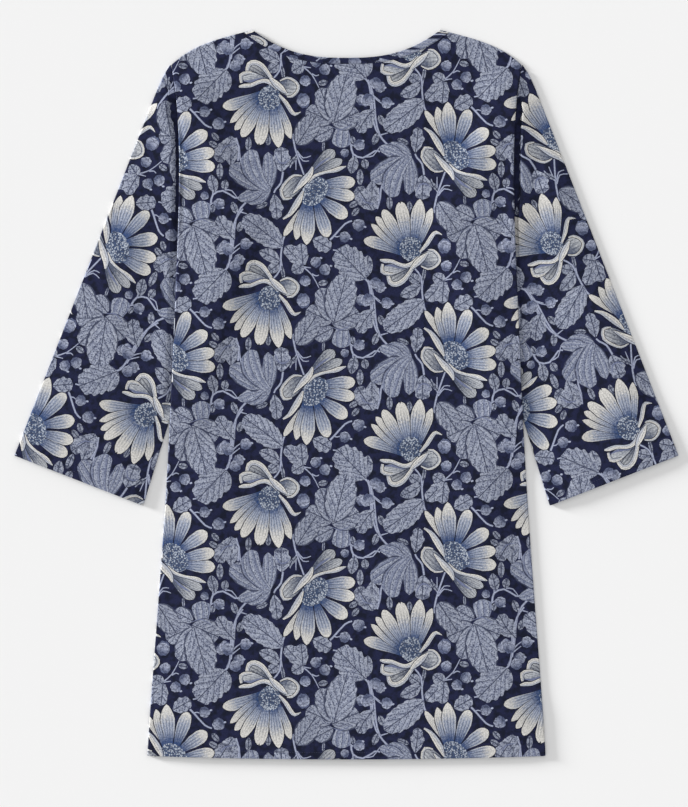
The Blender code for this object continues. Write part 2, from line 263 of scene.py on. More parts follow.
# %% Where the sleeves run in beneath the body
def sleeve_reach(depth):
    """How near the sleeve comes to the centre line beneath the body."""
    down = np.clip((depth - TUCK_STARTS) / (UNDERARM[1] - TUCK_STARTS), 0.0, 1.0)
    reach = body_half_width(UNDERARM[1]) + ARMHOLE_GAP - UNDERARM[0]
    above = body_half_width(depth) - reach * down**TUCK_POWER
    slope = (CUFF_INNER[0] - UNDERARM[0]) / (CUFF_INNER[1] - UNDERARM[1])
    return np.where(depth <= UNDERARM[1], above, UNDERARM[0] + (depth - UNDERARM[1]) * slope)


# A slot lies where a sleeve comes out from beneath the body. A Run says at which depth something begins and
# over what length it grows. In the tables, -1 stands for the left sleeve and 1 for the right one.
Run = namedtuple("Run", "start length")
SLOT_OPENS = Run(0.078, 0.022)
SLOT_WEAKENS = Run(0.235, 0.090)
SLOT_CLOSES = Run(0.440, 0.080)
SLOT_DIP = 0.0019
SLOT_NARROWEST = {-1: 0.0022, 1: 0.0024}
SLOT_WIDER_BY = {-1: 0.0048, 1: 0.0044}
LEFT_SLOT_WIDEST = Run(0.106, 0.014)
RIGHT_SLOT_WIDENS = Run(0.090, 0.014)
RIGHT_SLOT_NARROWS = Run(0.205, 0.050)
SLOT_WALL = {-1: 0.0075, 1: 0.0028}
RIDGE_HEIGHT = {-1: 0.0030, 1: 0.0027}
RIDGE_FALL = {-1: 0.034, 1: 0.026}
SLOT_FADE = {-1: 0.42, 1: 0.70}


def grown(depth, run):
    """Goes smoothly from 0 to 1 along a run."""
    return smooth((depth - run.start) / run.length)


def slot_width(side, depth):
    """How wide the slot's bottom is: most near its top on the left, down the upper arm on the right."""
    if side < 0:
        wide = 0.5 ** (((depth - LEFT_SLOT_WIDEST.start) / LEFT_SLOT_WIDEST.length) ** 2)
        return SLOT_NARROWEST[side] + SLOT_WIDER_BY[side] * wide
    narrowing = 1 - grown(depth, RIGHT_SLOT_NARROWS)
    return SLOT_NARROWEST[side] + SLOT_WIDER_BY[side] * grown(depth, RIGHT_SLOT_WIDENS) * narrowing


def slot_height(side, out, depth):
    """The sleeve sinks in beside the body's edge, and stands up again in a soft ridge."""
    strength = grown(depth, SLOT_OPENS) * (1 - SLOT_FADE[side] * grown(depth, SLOT_WEAKENS))
    strength = strength * (1 - grown(depth, SLOT_CLOSES))
    past = out - slot_width(side, depth)
    wall = smooth(past / SLOT_WALL[side])
    far = 1 - smooth((past - SLOT_WALL[side]) / RIDGE_FALL[side])
    return strength * (RIDGE_HEIGHT[side] * wall * far - SLOT_DIP * (1 - wall))


print("a sleeve reaches in to", round(float(sleeve_reach(UNDERARM[1])), 3), "from the centre line")


# %% The body's two faces
def body_lift(across, depth):
    """How much the sleeve that lies beneath the body's edge holds it up."""
    first = smooth((depth - SHOULDER_DROP) / (LIFT_FULL_FROM - SHOULDER_DROP))
    last = 1 - smooth((depth - LIFT_FULL_TO) / LIFT_LAST_RAMP)
    out = np.abs(across) - sleeve_reach(depth) + LIFT_MARGIN + LIFT_RAMP
    return LIFT * first * last * smooth(out / LIFT_RAMP)


def panel_top(across, drop):
    """Depth of a panel's upper edge as it shows: the neck seam, then the shoulder seam."""
    at_neck = neck_seam(np.clip(across / SEAM_HALF_WIDTH, -1, 1), drop)[..., 1]
    return np.where(np.abs(across) >= SEAM_HALF_WIDTH, shoulder_depth(across), at_neck)


def front_underside(across, depth):
    """The lowest face of the body, which the front binding holds up a little near the neck."""
    off = np.maximum(0.0, depth - panel_top(across, FRONT_NECK_DROP))
    off = off + np.maximum(0.0, np.abs(across) - SEAM_HALF_WIDTH)
    return body_lift(across, depth) + (BINDING_WALL - WALL) * (1 - smooth(off / PANEL_EDGE_RAMP))


def back_top(across, depth):
    """The highest face of the body: both walls, and the air between them."""
    from_side = smooth((body_half_width(depth) - np.abs(across)) / PANEL_EDGE_RAMP)
    from_shoulder = smooth((depth - shoulder_depth(across)) / PANEL_EDGE_RAMP)
    at_hem = smooth((depth - LENGTH + 2 * PANEL_EDGE_RAMP) / PANEL_EDGE_RAMP)
    loft = PANEL_LOFT + fold_height(BACK_FOLDS, across, depth)
    gap = PANEL_GAP + HEM_LOFT * at_hem + loft * from_side * from_shoulder
    top = front_underside(across, depth) + 2 * WALL + np.minimum(gap, WIDEST_GAP)
    return top + fold_height(BACK_CREASES, across, depth)


print("the body's middle stands", round(float(back_top(np.array(0.0), np.array(0.5))) * 1000, 2), "mm high")

# %% [markdown]
# The print is daisies and vine leaves on navy. It could be a picture, but a picture blurs up close and
# belongs to whoever drew it. Instead each petal and leaf is drawn here as a small outline of our own,
# and the sheet is later cut along these outlines as marquetry is, so that the edge of every petal is crisp.
# A blade serves for petals, lobes, leaves and berries alike: a middle line from base to tip, and a width
# that swells and closes along it, smooth, toothed or notched.

# %% Draw with blades and straps
KINDS = 10
GROUND, LEAF, PETAL, DISC, CUP, BAND, BERRY, STEM, FAN, SHADE = range(KINDS)
Shape = namedtuple("Shape", "kind outline base along side bend tone detail path widths")
hand = random.Random(7)

PLACES = [0.0, 0.08, 0.18, 0.32, 0.48, 0.63, 0.76, 0.87, 0.95, 1.0]
PETAL_SWELL = [0.40, 0.47, 0.57, 0.72, 0.88, 0.97, 0.96, 0.82, 0.56, 0.14]
POINTED_SWELL = [0.40, 0.48, 0.60, 0.78, 0.94, 1.00, 0.88, 0.62, 0.34, 0.0]
LOBE_SWELL = [0.45, 0.62, 0.80, 0.95, 1.00, 0.94, 0.80, 0.56, 0.30, 0.0]
LEAF_SWELL = [0.0, 0.36, 0.66, 0.92, 1.00, 0.95, 0.80, 0.54, 0.27, 0.0]
ROUND_SWELL = [0.0, 0.52, 0.76, 0.93, 1.00, 0.97, 0.85, 0.67, 0.44, 0.0]


CORNER_CUT = 0.22
FIRST_TOOTH = 0.05
LAST_TOOTH = 0.97
TOOTH_LEAN = 0.4
TREMBLE = (0.95, 1.05)
STRAP_STEPS = 2
THINNEST_STRAP = 0.3
print("a blade has", len(PLACES), "widths along it")


# %% Blades
def rounded(outline):
    """Cuts each corner of an outline off, so that it turns in two easy steps."""
    following = np.roll(outline, -1, axis=0)
    leaving = (1 - CORNER_CUT) * outline + CORNER_CUT * following
    arriving = CORNER_CUT * outline + (1 - CORNER_CUT) * following
    return np.stack([leaving, arriving], axis=1).reshape(-1, 2)


def blade(
    kind, base, tip, width, swell=LEAF_SWELL, teeth=0, tooth=0.14, bend=0.0, tone=0.5, detail=0.5, notch=0.0
):
    """A petal, lobe, leaf or berry as an outline round its middle line. bend is a share of the half width."""
    base, tip = np.array(base, float), np.array(tip, float)
    along = tip - base
    side = np.array([-along[1], along[0]]) / np.hypot(*along) * width / 2
    places, halves = np.array(PLACES), np.array(swell)
    if teeth:
        places = np.linspace(FIRST_TOOTH, LAST_TOOTH, 2 * teeth + 1)
        odd = np.arange(len(places)) % 2 == 1
        halves = np.interp(places, PLACES, swell) * np.where(odd, 1 + tooth, 1 - tooth)
        places = places + np.where(odd, TOOTH_LEAN, 0.0) / (2 * teeth)
        halves = np.concatenate([[swell[0]], halves, [0.0]])
        places = np.concatenate([[0.0], places, [1.0]])
    tremble = np.array([hand.uniform(*TREMBLE) for _ in range(2 * len(places))])
    right = np.column_stack([places, halves * tremble[: len(places)]])
    left = np.column_stack([places, -halves * tremble[len(places) :]])[::-1]
    if halves[-1] == 0.0:
        left = left[1:]
    if notch:
        left = np.vstack([[1.0 - notch, 0.0], left])
    if halves[0] == 0.0:
        left = left[:-1]
    local = np.vstack([right, left])
    bow = local[:, 1] + bend * 4 * local[:, 0] * (1 - local[:, 0])
    outline = base + local[:, :1] * along + bow[:, None] * side
    if teeth:
        outline = rounded(outline)
    return Shape(kind, outline, base, along, side, bend, tone, detail, None, None)


# %% Straps
def strap(kind, points, tone, detail=0.5):
    """A stem, or a petal seen from its side: a path whose points each give a place and a width."""
    points = [np.array(point, float) for point in points]
    ends = [2 * points[0] - points[1]] + points + [2 * points[-1] - points[-2]]
    path = []
    for first, second, third, fourth in zip(ends, ends[1:], ends[2:], ends[3:]):
        for step in range(STRAP_STEPS):
            share = step / STRAP_STEPS
            bow = (third - first) * share + (2 * first - 5 * second + 4 * third - fourth) * share**2
            path.append(second + 0.5 * (bow + (3 * second - first - 3 * third + fourth) * share**3))
    path = np.array(path + [points[-1]])
    path, widths = path[:, :2], np.maximum(path[:, 2], THINNEST_STRAP)
    ahead = np.gradient(path, axis=0)
    across = np.column_stack([-ahead[:, 1], ahead[:, 0]]) / np.linalg.norm(ahead, axis=1)[:, None]
    half = widths[:, None] / 2
    outline = np.vstack([path + across * half, (path - across * half)[::-1]])
    along = path[-1] - path[0]
    side = np.array([-along[1], along[0]])
    return Shape(kind, outline, path[0], along, side, 0.0, tone, detail, path, widths)

# %% [markdown]
# A printed repeat is drawn on squared paper first, and so is this one. One square of the chart is 1.3
# millimetres. The chart holds half of the repeat, because the other half is the same one turned over and
# moved on by half a repeat's width, as in many old flower prints. It holds two daisies, a vine leaf, a
# leaf like a fan, a dozen smaller leaves, berries, buds, and the stems between them.

# %% The chart's measures
SQUARE = 0.0013
REPEAT_ACROSS = np.array([281.0, -2.0])
REPEAT_DOWN = np.array([0.0, 200.0])
GLIDE_ACROSS = 141.0
GLIDE_MIRROR = 547.0
CHART_CENTRE = np.array([346.5, 30.0])

STEM_FINENESS = 0.86
LONG_STEM = (2.6, 2.1)
SHORT_STEM = (1.9, 1.1)
LEAF_FINENESS = 0.95
BERRY_REACH = 0.48
BERRY_WIDTH = 0.95
DOT_REACH = np.array([1.3, 0.4])
DOT_WIDTH = 2.2
LINE_END = 0.4

chart = []
print("a repeat is", round(REPEAT_ACROSS[0] * SQUARE, 3), "by", round(REPEAT_DOWN[1] * SQUARE, 3), "metres")


# %% Chart: stems, buds and berries
def stem(points, start_width, end_width, tone):
    widths = np.linspace(start_width, end_width, len(points)) * STEM_FINENESS
    chart.append(strap(STEM, [(*point, width) for point, width in zip(points, widths)], tone))


def leaf(base, tip, width, swell=LEAF_SWELL, tone=0.5, detail=0.4, **shape):
    chart.append(blade(LEAF, base, tip, width * LEAF_FINENESS, swell, tone=tone, detail=detail, **shape))


def berry(place, size, dot):
    """A lumpy berry, and a light dot beside it if its place is given."""
    turn = hand.uniform(0, tau)
    reach = np.array([cos(turn), sin(turn)]) * size * BERRY_REACH
    tone = hand.uniform(0.3, 0.7)
    ends = (place - reach, place + reach)
    chart.append(blade(BERRY, *ends, size * BERRY_WIDTH, ROUND_SWELL, teeth=3, tooth=0.07, tone=tone))
    if dot:
        spot = np.array(dot, float)
        chart.append(blade(STEM, spot - DOT_REACH, spot + DOT_REACH, DOT_WIDTH, ROUND_SWELL, tone=0.7))


def dark_line(points, width=1.3):
    middle = [(*point, width) for point in points[1:-1]]
    chart.append(strap(SHADE, [(*points[0], LINE_END), *middle, (*points[-1], LINE_END)], tone=0.9))


STEMS = [
    [(250, 399), (241, 408), (236, 420), (234, 435), (233, 447), (230, 460), (227, 467)],
    [(233, 450), (237, 446), (243, 442)],
    [(240, 412), (247, 414)],
    [(286, 434), (283, 440), (281, 455), (280, 470), (273, 479)],
    [(281, 460), (284, 476)],
    [(283, 372), (281, 383), (276, 389), (274, 393)],
    [(293, 334), (294, 343), (297, 355), (304, 375)],
    [(297, 351), (303, 358), (311, 356)],
    [(298, 354), (303, 361), (309, 361)],
    [(297, 352), (296, 361), (296, 370)],
    [(297, 354), (293, 361), (290, 368)],
    [(303, 467), (312, 475), (319, 488)],
    [(304, 467), (311, 468)],
    [(312, 474), (316, 476), (319, 475)],
    [(330, 440), (334, 436), (345, 424), (352, 421)],
    [(334, 436), (337, 437), (340, 436)],
    [(333, 450), (339, 451), (344, 453)],
    [(364, 478), (368, 482), (370, 490), (371, 500), (371, 510), (373, 520)],
    [(371, 494), (376, 498), (380, 501)],
    [(371, 290), (372, 300), (373, 318), (376, 330), (383, 340)],
    [(351, 345), (353, 354), (363, 358), (375, 351), (380, 352)],
    [(353, 346), (349, 343), (346, 342)],
    [(353, 355), (353, 362)],
    [(225, 390), (232, 391), (238, 399)],
    [(236, 338), (239, 348), (240, 358), (243, 366)],
    [(378, 388), (379, 402), (374, 408), (366, 407)],
    [(302, 455), (300, 448), (291, 446)],
]
for points in STEMS:
    stem(points, *(LONG_STEM if len(points) > 3 else SHORT_STEM), tone=0.6)

BUDS = [
    ((248, 351), (249, 337), 6.5),
    ((268, 346), (269, 334), 6.0),
    ((360, 386), (360, 369), 7.0),
    ((237, 414), (232, 402), 7.0),
    ((238, 432), (243, 421), 7.0),
    ((268, 403), (256, 408), 5.5),
    ((349, 407), (358, 402), 6.0),
    ((352, 416), (359, 408), 6.0),
    ((318, 484), (328, 482), 6.0),
    ((364, 359), (366, 369), 8.0),
    ((354, 344), (352, 336), 5.0),
    ((323, 352), (324, 341), 3.0),
    ((284, 480), (282, 466), 4.0),
    ((227, 492), (226, 470), 11.0),
    ((291, 364), (297, 356), 4.5),
    ((289, 367), (293, 359), 4.0),
]
for base, tip, width in BUDS:
    leaf(base, tip, width, tone=hand.uniform(0.25, 0.55), detail=0.1)

BERRIES = [
    ((304, 302), 13, None),
    ((362, 500), 12, (368, 497)),
    ((345, 353), 9, None),
    ((359, 345), 12, (363, 341)),
    ((246, 444), 12, (252, 443)),
    ((239, 460), 12, (244, 459)),
    ((225, 446), 12, None),
    ((316, 462), 11.5, (321, 458)),
    ((325, 470), 12, (331, 466)),
    ((305, 481), 11.5, None),
    ((303, 500), 14, None),
    ((359, 425), 13, (365, 427)),
    ((345, 437), 11.5, (351, 439)),
    ((375, 483), 12, None),
    ((368, 300), 13, None),
]
for place, size, dot in BERRIES:
    berry(np.array(place, float), size, dot)
print("stems, buds and berries:", len(STEMS), len(BUDS), len(BERRIES))

# %% Chart: leaves
# The dark line round a lobe, which keeps it apart from the one below, shows by half of this on each side.
FAN_LINE = 1.4
VINE_LINE = 1.2

leaf((282, 372), (281, 347), 18, ROUND_SWELL, teeth=3, tone=0.62, detail=0.1)
dark_line([(275, 354), (279, 362), (285, 363), (290, 359)])
leaf((231, 366), (231, 336), 15, ROUND_SWELL, teeth=3, tone=0.52, detail=0.35)
leaf((274, 394), (277, 420), 14, teeth=3, bend=-0.1, tone=0.50, detail=0.3)
leaf((372, 410), (357, 387), 17, ROUND_SWELL, teeth=4, tone=0.50, detail=0.1)
dark_line([(360, 395), (365, 402), (374, 404)])
leaf((355, 356), (351, 374), 11, tone=0.42, detail=0.2)
leaf((375, 309), (358, 333), 19, teeth=3, bend=0.2, tone=0.55, detail=0.4)
leaf((280, 462), (259, 451), 13, bend=0.2, tone=0.48, detail=0.3)
leaf((279, 464), (268, 472), 11, tone=0.44, detail=0.2)
leaf((313, 439), (331, 449), 16, ROUND_SWELL, teeth=3, tone=0.55, detail=0.3)
leaf((302, 464), (285, 446), 15, LOBE_SWELL, teeth=2, tone=0.60, detail=0.3)
leaf((303, 465), (292, 472), 13, LOBE_SWELL, tone=0.50, detail=0.2)
leaf((303, 465), (301, 443), 13, LOBE_SWELL, teeth=2, tone=0.56, detail=0.3)
leaf((283, 447), (243, 417), 26, ROUND_SWELL, teeth=6, tooth=0.06, bend=0.06, tone=0.66, detail=0.6)
leaf((366, 479), (337, 449), 32, ROUND_SWELL, teeth=5, tooth=0.11, tone=0.56, detail=0.6)

# The leaf like a fan: its pleated lobes spread from one base, each drawn over the last.
FAN_LOBES = [
    ((271, 389), (247, 403), 12, LEAF_SWELL, -0.30, 0.50),
    ((264, 390), (238, 400), 12, LEAF_SWELL, 0.0, 0.64),
    ((262, 389), (230, 366), 21, ROUND_SWELL, 0.10, 0.50),
    ((268, 389), (268, 352), 14, LOBE_SWELL, 0.20, 0.50),
    ((267, 389), (249, 350), 21, PETAL_SWELL, -0.50, 0.60),
]
for base, tip, width, swell, bend, tone in FAN_LOBES:
    chart.append(blade(SHADE, base, tip, width + FAN_LINE, swell, tone=0.55, bend=bend))
    chart.append(blade(FAN, base, tip, width, swell, teeth=3, tooth=0.05, tone=tone, bend=bend))

# The vine leaf: its lobes meet at one point, where their veins start. One of them curls back.
VINE_LOBES = [
    ((333, 328), (314, 338), 17, ROUND_SWELL, 2, 0.56),
    ((332, 322), (306, 310), 21, ROUND_SWELL, 4, 0.50),
    ((297, 345), (317, 315), 22, ROUND_SWELL, 5, 0.44),
    ((332, 324), (359, 312), 25, ROUND_SWELL, 4, 0.50),
    ((333, 322), (320, 288), 20, ROUND_SWELL, 4, 0.56),
    ((334, 322), (347, 274), 31, ROUND_SWELL, 6, 0.62),
]
chart.append(blade(FAN, (343, 322), (341, 348), 20, PETAL_SWELL, teeth=2, tooth=0.04, tone=0.60))
for base, tip, width, swell, teeth, tone in VINE_LOBES:
    chart.append(blade(SHADE, base, tip, width + VINE_LINE, swell, tone=0.55))
    leaf(base, tip, width, swell, teeth=teeth, tooth=0.06, tone=tone, detail=0.6)
dark_line([(332, 327), (341, 330), (351, 325)], 1.2)
print("so far the chart has", len(chart), "shapes")

# %% Chart: the two daisies
PETAL_ROUND = 1.5
PETAL_PAST = 0.6
LIP_ROUND = 1.2
LIP_FINENESS = 0.8
CUP_ROUND = 1.6
ROUND_TONE = 0.35


def petal(base, tip, width, pointed=False, tone=0.5, blue=0.5, **shape):
    """A petal, with a dark line round it that keeps it apart from the one below."""
    swell = POINTED_SWELL if pointed else PETAL_SWELL
    base, tip = np.array(base, float), np.array(tip, float)
    past = (tip - base) / np.hypot(*(tip - base)) * PETAL_PAST
    bend = shape.get("bend", 0.0)
    chart.append(blade(SHADE, base, tip + past, width + PETAL_ROUND, swell, tone=ROUND_TONE, bend=bend))
    chart.append(blade(PETAL, base, tip, width, swell, tone=tone, detail=blue, **shape))


def lip(points, tone):
    """The edge of a folded petal, with a dark line round it. points are (across, down, width)."""
    band = [(x, y, width * LIP_FINENESS) for x, y, width in points]
    chart.append(strap(SHADE, [(x, y, width + LIP_ROUND) for x, y, width in band], ROUND_TONE))
    chart.append(strap(BAND, band, tone))


def cup(base, tip, width, swell, tone, hatching):
    """The inside of a folded petal."""
    base, tip = np.array(base, float), np.array(tip, float)
    past = (tip - base) / np.hypot(*(tip - base))
    chart.append(blade(SHADE, base - past, tip + past, width + CUP_ROUND, swell, tone=ROUND_TONE))
    chart.append(blade(CUP, base, tip, width, swell, tone=tone, detail=hatching))


petal((262, 293), (223, 307), 12, tone=0.45, blue=0.75, bend=-0.3)
petal((260, 297), (230, 323), 9, pointed=True, tone=0.52, blue=0.45)
petal((261, 300), (235, 330), 8, tone=0.56, blue=0.45)
petal((263, 302), (242, 337), 11, tone=0.62, blue=0.40)
petal((277, 301), (291, 339), 10, tone=0.56, blue=0.45, pointed=True)
petal((267, 304), (259, 345), 13.5, tone=0.66, blue=0.35, notch=0.05)
petal((273, 304), (279, 348), 14, tone=0.68, blue=0.50, pointed=True)
chart.append(blade(DISC, (258, 297), (281, 299), 25, ROUND_SWELL, teeth=8, tooth=0.05, tone=0.5))
lip([(279, 295, 2.5), (286, 303, 5.0), (291, 311, 5.0), (295, 314.5, 4.0), (301, 312, 0.6)], 0.75)
cup((270, 279), (247, 266), 15, PETAL_SWELL, tone=0.35, hatching=1.0)
lip(
    [(247, 272, 4.0), (249, 264.5, 5.5), (255, 262.5, 6.0)]
    + [(262, 266, 6.0), (267, 272, 5.0), (273, 281, 4.0)],
    0.72,
)
cup((268, 281), (242, 276), 11, PETAL_SWELL, tone=0.75, hatching=0.35)
lip([(241.5, 283, 3.0), (241, 275.5, 4.5), (247, 273, 4.0), (252, 273, 2.5)], 0.70)
dark_line([(243, 281), (250, 281.5), (257, 280), (263, 278)], 2.2)
lip(
    [(239, 287, 2.0), (244, 286, 5.0), (251, 285.5, 4.5), (258, 282.5, 4.5)]
    + [(265, 281, 5.0), (272, 284, 5.0), (277, 290, 2.0)],
    0.80,
)
cup((278, 285), (299, 288), 19, ROUND_SWELL, tone=0.70, hatching=0.45)
lip(
    [(287, 297, 1.5), (292, 296.5, 3.0), (297, 292, 3.2), (298.5, 286, 3.4)]
    + [(294, 280.5, 3.0), (287, 278, 2.6), (280, 281, 1.5)],
    0.74,
)
lip([(270, 278, 3.0), (275, 283, 7.0), (281, 288.5, 7.5), (287, 294, 1.5)], 0.82)

petal((308, 401), (284, 436), 7, tone=0.60, blue=0.1)
petal((321, 384), (355, 382), 13.5, tone=0.62, blue=0.70)
petal((321, 391), (354.5, 397), 12.5, tone=0.64, blue=0.65)
petal((319, 398), (347, 417), 14, tone=0.64, blue=0.70)
petal((305, 402), (296, 440), 10.5, tone=0.58, blue=0.55, pointed=True)
petal((316, 402), (328, 437), 13.5, tone=0.64, blue=0.85)
petal((310, 403), (306.5, 445), 14, tone=0.66, blue=0.60, pointed=True)
chart.append(blade(DISC, (304, 405), (325, 379), 23, ROUND_SWELL, teeth=8, tooth=0.05, tone=0.6))
cup((303, 376), (282, 397), 17, ROUND_SWELL, tone=0.55, hatching=0.7)
lip(
    [(302, 376, 1.5), (294, 375.5, 2.8), (287, 381, 3.2), (281, 390, 3.6), (284, 399, 3.6), (292, 398, 1.5)],
    0.66,
)
cup((311, 373), (334, 350.5), 13, PETAL_SWELL, tone=0.50, hatching=0.8)
dark_line([(313, 371), (321, 363), (331, 357)], 2.4)
cup((312, 375), (342, 360), 9.5, PETAL_SWELL, tone=0.60, hatching=0.7)
lip(
    [(308, 383, 1.5), (315, 376, 3.6), (325, 372.5, 3.2)]
    + [(333, 371, 4.5), (339, 369, 5.5), (346, 366.5, 1.0)],
    0.80,
)
lip([(312.5, 367, 2.0), (310, 374, 7.0), (303, 382, 8.0), (293, 393.5, 1.5)], 0.76)
lip([(303, 391, 2.0), (299, 400, 7.5), (293.5, 409, 7.0), (289, 415, 4.5), (283, 419, 2.0)], 0.72)

print("the half repeat has", len(chart), "shapes and", sum(len(shape.outline) for shape in chart), "points")

# %% [markdown]
# The repeat now covers as much plane as a sheet needs. A shape keeps its own small frame, from base to tip
# and from middle to side, so that its veins and stripes can be painted along it later.

# %% Lay out the print
# The chart's own places lie one or two repeats away from its corner, so a few more repeats are tried.
REPEATS_BEFORE = 3
REPEATS_AFTER = 2


def moved(shape, matrix, shift):
    """A shape turned, mirrored or scaled by a 2 by 2 matrix, then shifted."""
    return shape._replace(
        outline=shape.outline @ matrix.T + shift,
        base=matrix @ shape.base + shift,
        along=matrix @ shape.along,
        side=matrix @ shape.side,
        path=None if shape.path is None else shape.path @ matrix.T + shift,
        widths=None if shape.path is None else shape.widths * np.sqrt(abs(np.linalg.det(matrix))),
    )


def print_over(low, high, matrix, shift):
    """All shapes of the print that touch the box from low to high.

    matrix and shift take a place on the chart, in squares, to a place on the sheet, in millimetres.
    """
    corners = np.array([(x, y) for x in (low[0], high[0]) for y in (low[1], high[1])], float)
    on_chart = (corners - shift) @ np.linalg.inv(matrix).T
    repeat = (REPEAT_ACROSS[0], REPEAT_DOWN[1])
    first = np.floor(on_chart.min(0) / repeat).astype(int) - REPEATS_BEFORE
    last = np.ceil(on_chart.max(0) / repeat).astype(int) + REPEATS_AFTER
    glide = np.array([[1.0, 0.0], [0.0, -1.0]])
    shapes = []
    for across in range(first[0], last[0] + 1):
        for down in range(first[1], last[1] + 1):
            place = across * REPEAT_ACROSS + down * REPEAT_DOWN
            for turned_over in (False, True):
                turn = glide if turned_over else np.eye(2)
                move = place + ((GLIDE_ACROSS, GLIDE_MIRROR) if turned_over else (0.0, 0.0))
                total, total_shift = matrix @ turn, matrix @ move + shift
                for order, shape in enumerate(chart):
                    outline = shape.outline @ total.T + total_shift
                    if np.all(outline.max(0) > low) and np.all(outline.min(0) < high):
                        shapes.append((order, moved(shape, total, total_shift)))
    shapes.sort(key=lambda pair: pair[0])
    return [shape for _, shape in shapes]


# %% [markdown]
# A sheet is made in its flat cut, as a maker has it on the table. Its outline, the print's outlines, and an
# even scatter of points are joined into triangles that keep every outline as an edge. Each triangle then
# knows which ink lies on top of it. Only then is the sheet laid in place: every point of the flat cut goes
# to its place on the garment, round the hem's fold and over the creases. Solidify gives it its thickness.

# %% Cut a sheet
MM = 1000.0
SPACING = 8.0
ROW_STEP = 0.866
CUT_TOLERANCE = 0.01


def anticlockwise(outline):
    following = np.roll(outline, -1, axis=0)
    area = np.sum(outline[:, 0] * following[:, 1] - following[:, 0] * outline[:, 1]) / 2
    return outline if area > 0 else outline[::-1]


def scatter(low, high):
    """Points in even rows, every other row shifted by half a step."""
    rows = np.arange(low[1], high[1], SPACING * ROW_STEP)
    points = []
    for number, row in enumerate(rows):
        shift = SPACING / 2 * (number % 2)
        points.append([(across + shift, row) for across in np.arange(low[0], high[0], SPACING)])
    return np.concatenate(points)


def join_up(paths, rings, spots):
    """Joins outlines, lines and points into triangles. Each triangle names the outlines that it lies in."""
    points, edges, faces = [], [], []

    def add(path):
        first = len(points)
        points.extend(Vector(place) for place in path)
        return list(range(first, len(points)))

    for path in paths:
        faces.append(add(anticlockwise(path)))
    for ring in rings:
        numbers = add(ring)
        edges += list(zip(numbers, numbers[1:]))
    add(spots)
    cut = delaunay_2d_cdt(points, edges, faces, 0, CUT_TOLERANCE, True)
    return np.array([tuple(place) for place in cut[0]]), cut[2], cut[5]


def visible_edges(triangles, tops):
    """The edges between triangles that don't have the same shape on top."""
    sides = np.concatenate([triangles[:, [0, 1]], triangles[:, [1, 2]], triangles[:, [2, 0]]])
    sides = np.sort(sides, axis=1)
    owners = np.tile(tops, 3)
    order = np.lexsort((sides[:, 1], sides[:, 0]))
    sides, owners = sides[order], owners[order]
    pair = np.all(sides[1:] == sides[:-1], axis=1) & (owners[1:] != owners[:-1])
    return sides[1:][pair]


def cut_sheet(outline, rings, shapes, spots):
    """Triangles of a flat sheet, in millimetres, and the number of the shape on top of each, or -1.

    The first cut finds which outlines show. The second keeps only those, so it has fewer triangles.
    """
    flat, triangles, sources = join_up([outline] + [shape.outline for shape in shapes], [], [])
    inside = [0 in names for names in sources]
    tops = np.array([max(names) - 1 for names, kept in zip(sources, inside) if kept])
    triangles = np.array([triangle for triangle, kept in zip(triangles, inside) if kept])
    lines = flat[visible_edges(triangles, tops)]
    tree = BVHTree.FromPolygons([(x, y, 0.0) for x, y in flat.tolist()], triangles.tolist())
    flat, triangles, sources = join_up([outline], rings + list(lines), spots)
    triangles = np.array([triangle for triangle, names in zip(triangles, sources) if 0 in names])
    middles = flat[triangles].mean(axis=1)
    down = Vector((0.0, 0.0, -1.0))
    hits = [tree.ray_cast(Vector((x, y, 1.0)), down)[2] for x, y in middles.tolist()]
    tops = np.array([-1 if hit is None else tops[hit] for hit in hits])
    used = np.unique(triangles)
    renumber = np.full(len(flat), -1)
    renumber[used] = np.arange(len(used))
    return flat[used], renumber[triangles], tops


def flat_area(outline):
    """The area of a cut in square metres."""
    following = np.roll(outline, -1, axis=0)
    return abs(np.sum(outline[:, 0] * following[:, 1] - following[:, 0] * outline[:, 1])) / 2 / MM**2


# %% Lay a sheet
CLOTH = 0.0004
WIDEST = 40.0
NO_SHAPE = Shape(GROUND, None, (0, 0), (1, 0), (0, 1), 0, 0, 0, None, None)


def along_strap(here, shape):
    """How far along a strap each corner lies, and how far across it."""
    starts, runs = shape.path[:-1], np.diff(shape.path, axis=0)
    off = here[:, :, None] - starts
    share = np.clip(np.sum(off * runs, axis=3) / np.sum(runs * runs, axis=1), 0.0, 1.0)
    gap = off - share[..., None] * runs
    nearest = np.argmin(np.sum(gap * gap, axis=3), axis=2)[..., None]
    share = np.take_along_axis(share, nearest, 2)[..., 0]
    gap = np.take_along_axis(gap, nearest[..., None], 2)[:, :, 0]
    nearest = nearest[..., 0]
    width = shape.widths[nearest] * (1 - share) + shape.widths[nearest + 1] * share
    across = runs[nearest][..., 0] * gap[..., 1] - runs[nearest][..., 1] * gap[..., 0]
    across = across / np.linalg.norm(runs[nearest], axis=2) / (width / 2)
    return np.stack([(nearest + share) / len(runs), across], axis=2)


def half_width(shape):
    """Half the width of a blade, or of a strap on average, in millimetres."""
    return float(np.hypot(*shape.side) if shape.path is None else shape.widths.mean() / 2)


def point_normals(places, triangles):
    """The way that the laid sheet faces at each point, from the triangles that meet there."""
    corners = places[triangles]
    facing = np.cross(corners[:, 1] - corners[:, 0], corners[:, 2] - corners[:, 0])
    normals = np.zeros_like(places)
    for corner in range(3):
        np.add.at(normals, triangles[:, corner], facing)
    return normals / np.maximum(np.linalg.norm(normals, axis=1), 1e-12)[:, None]


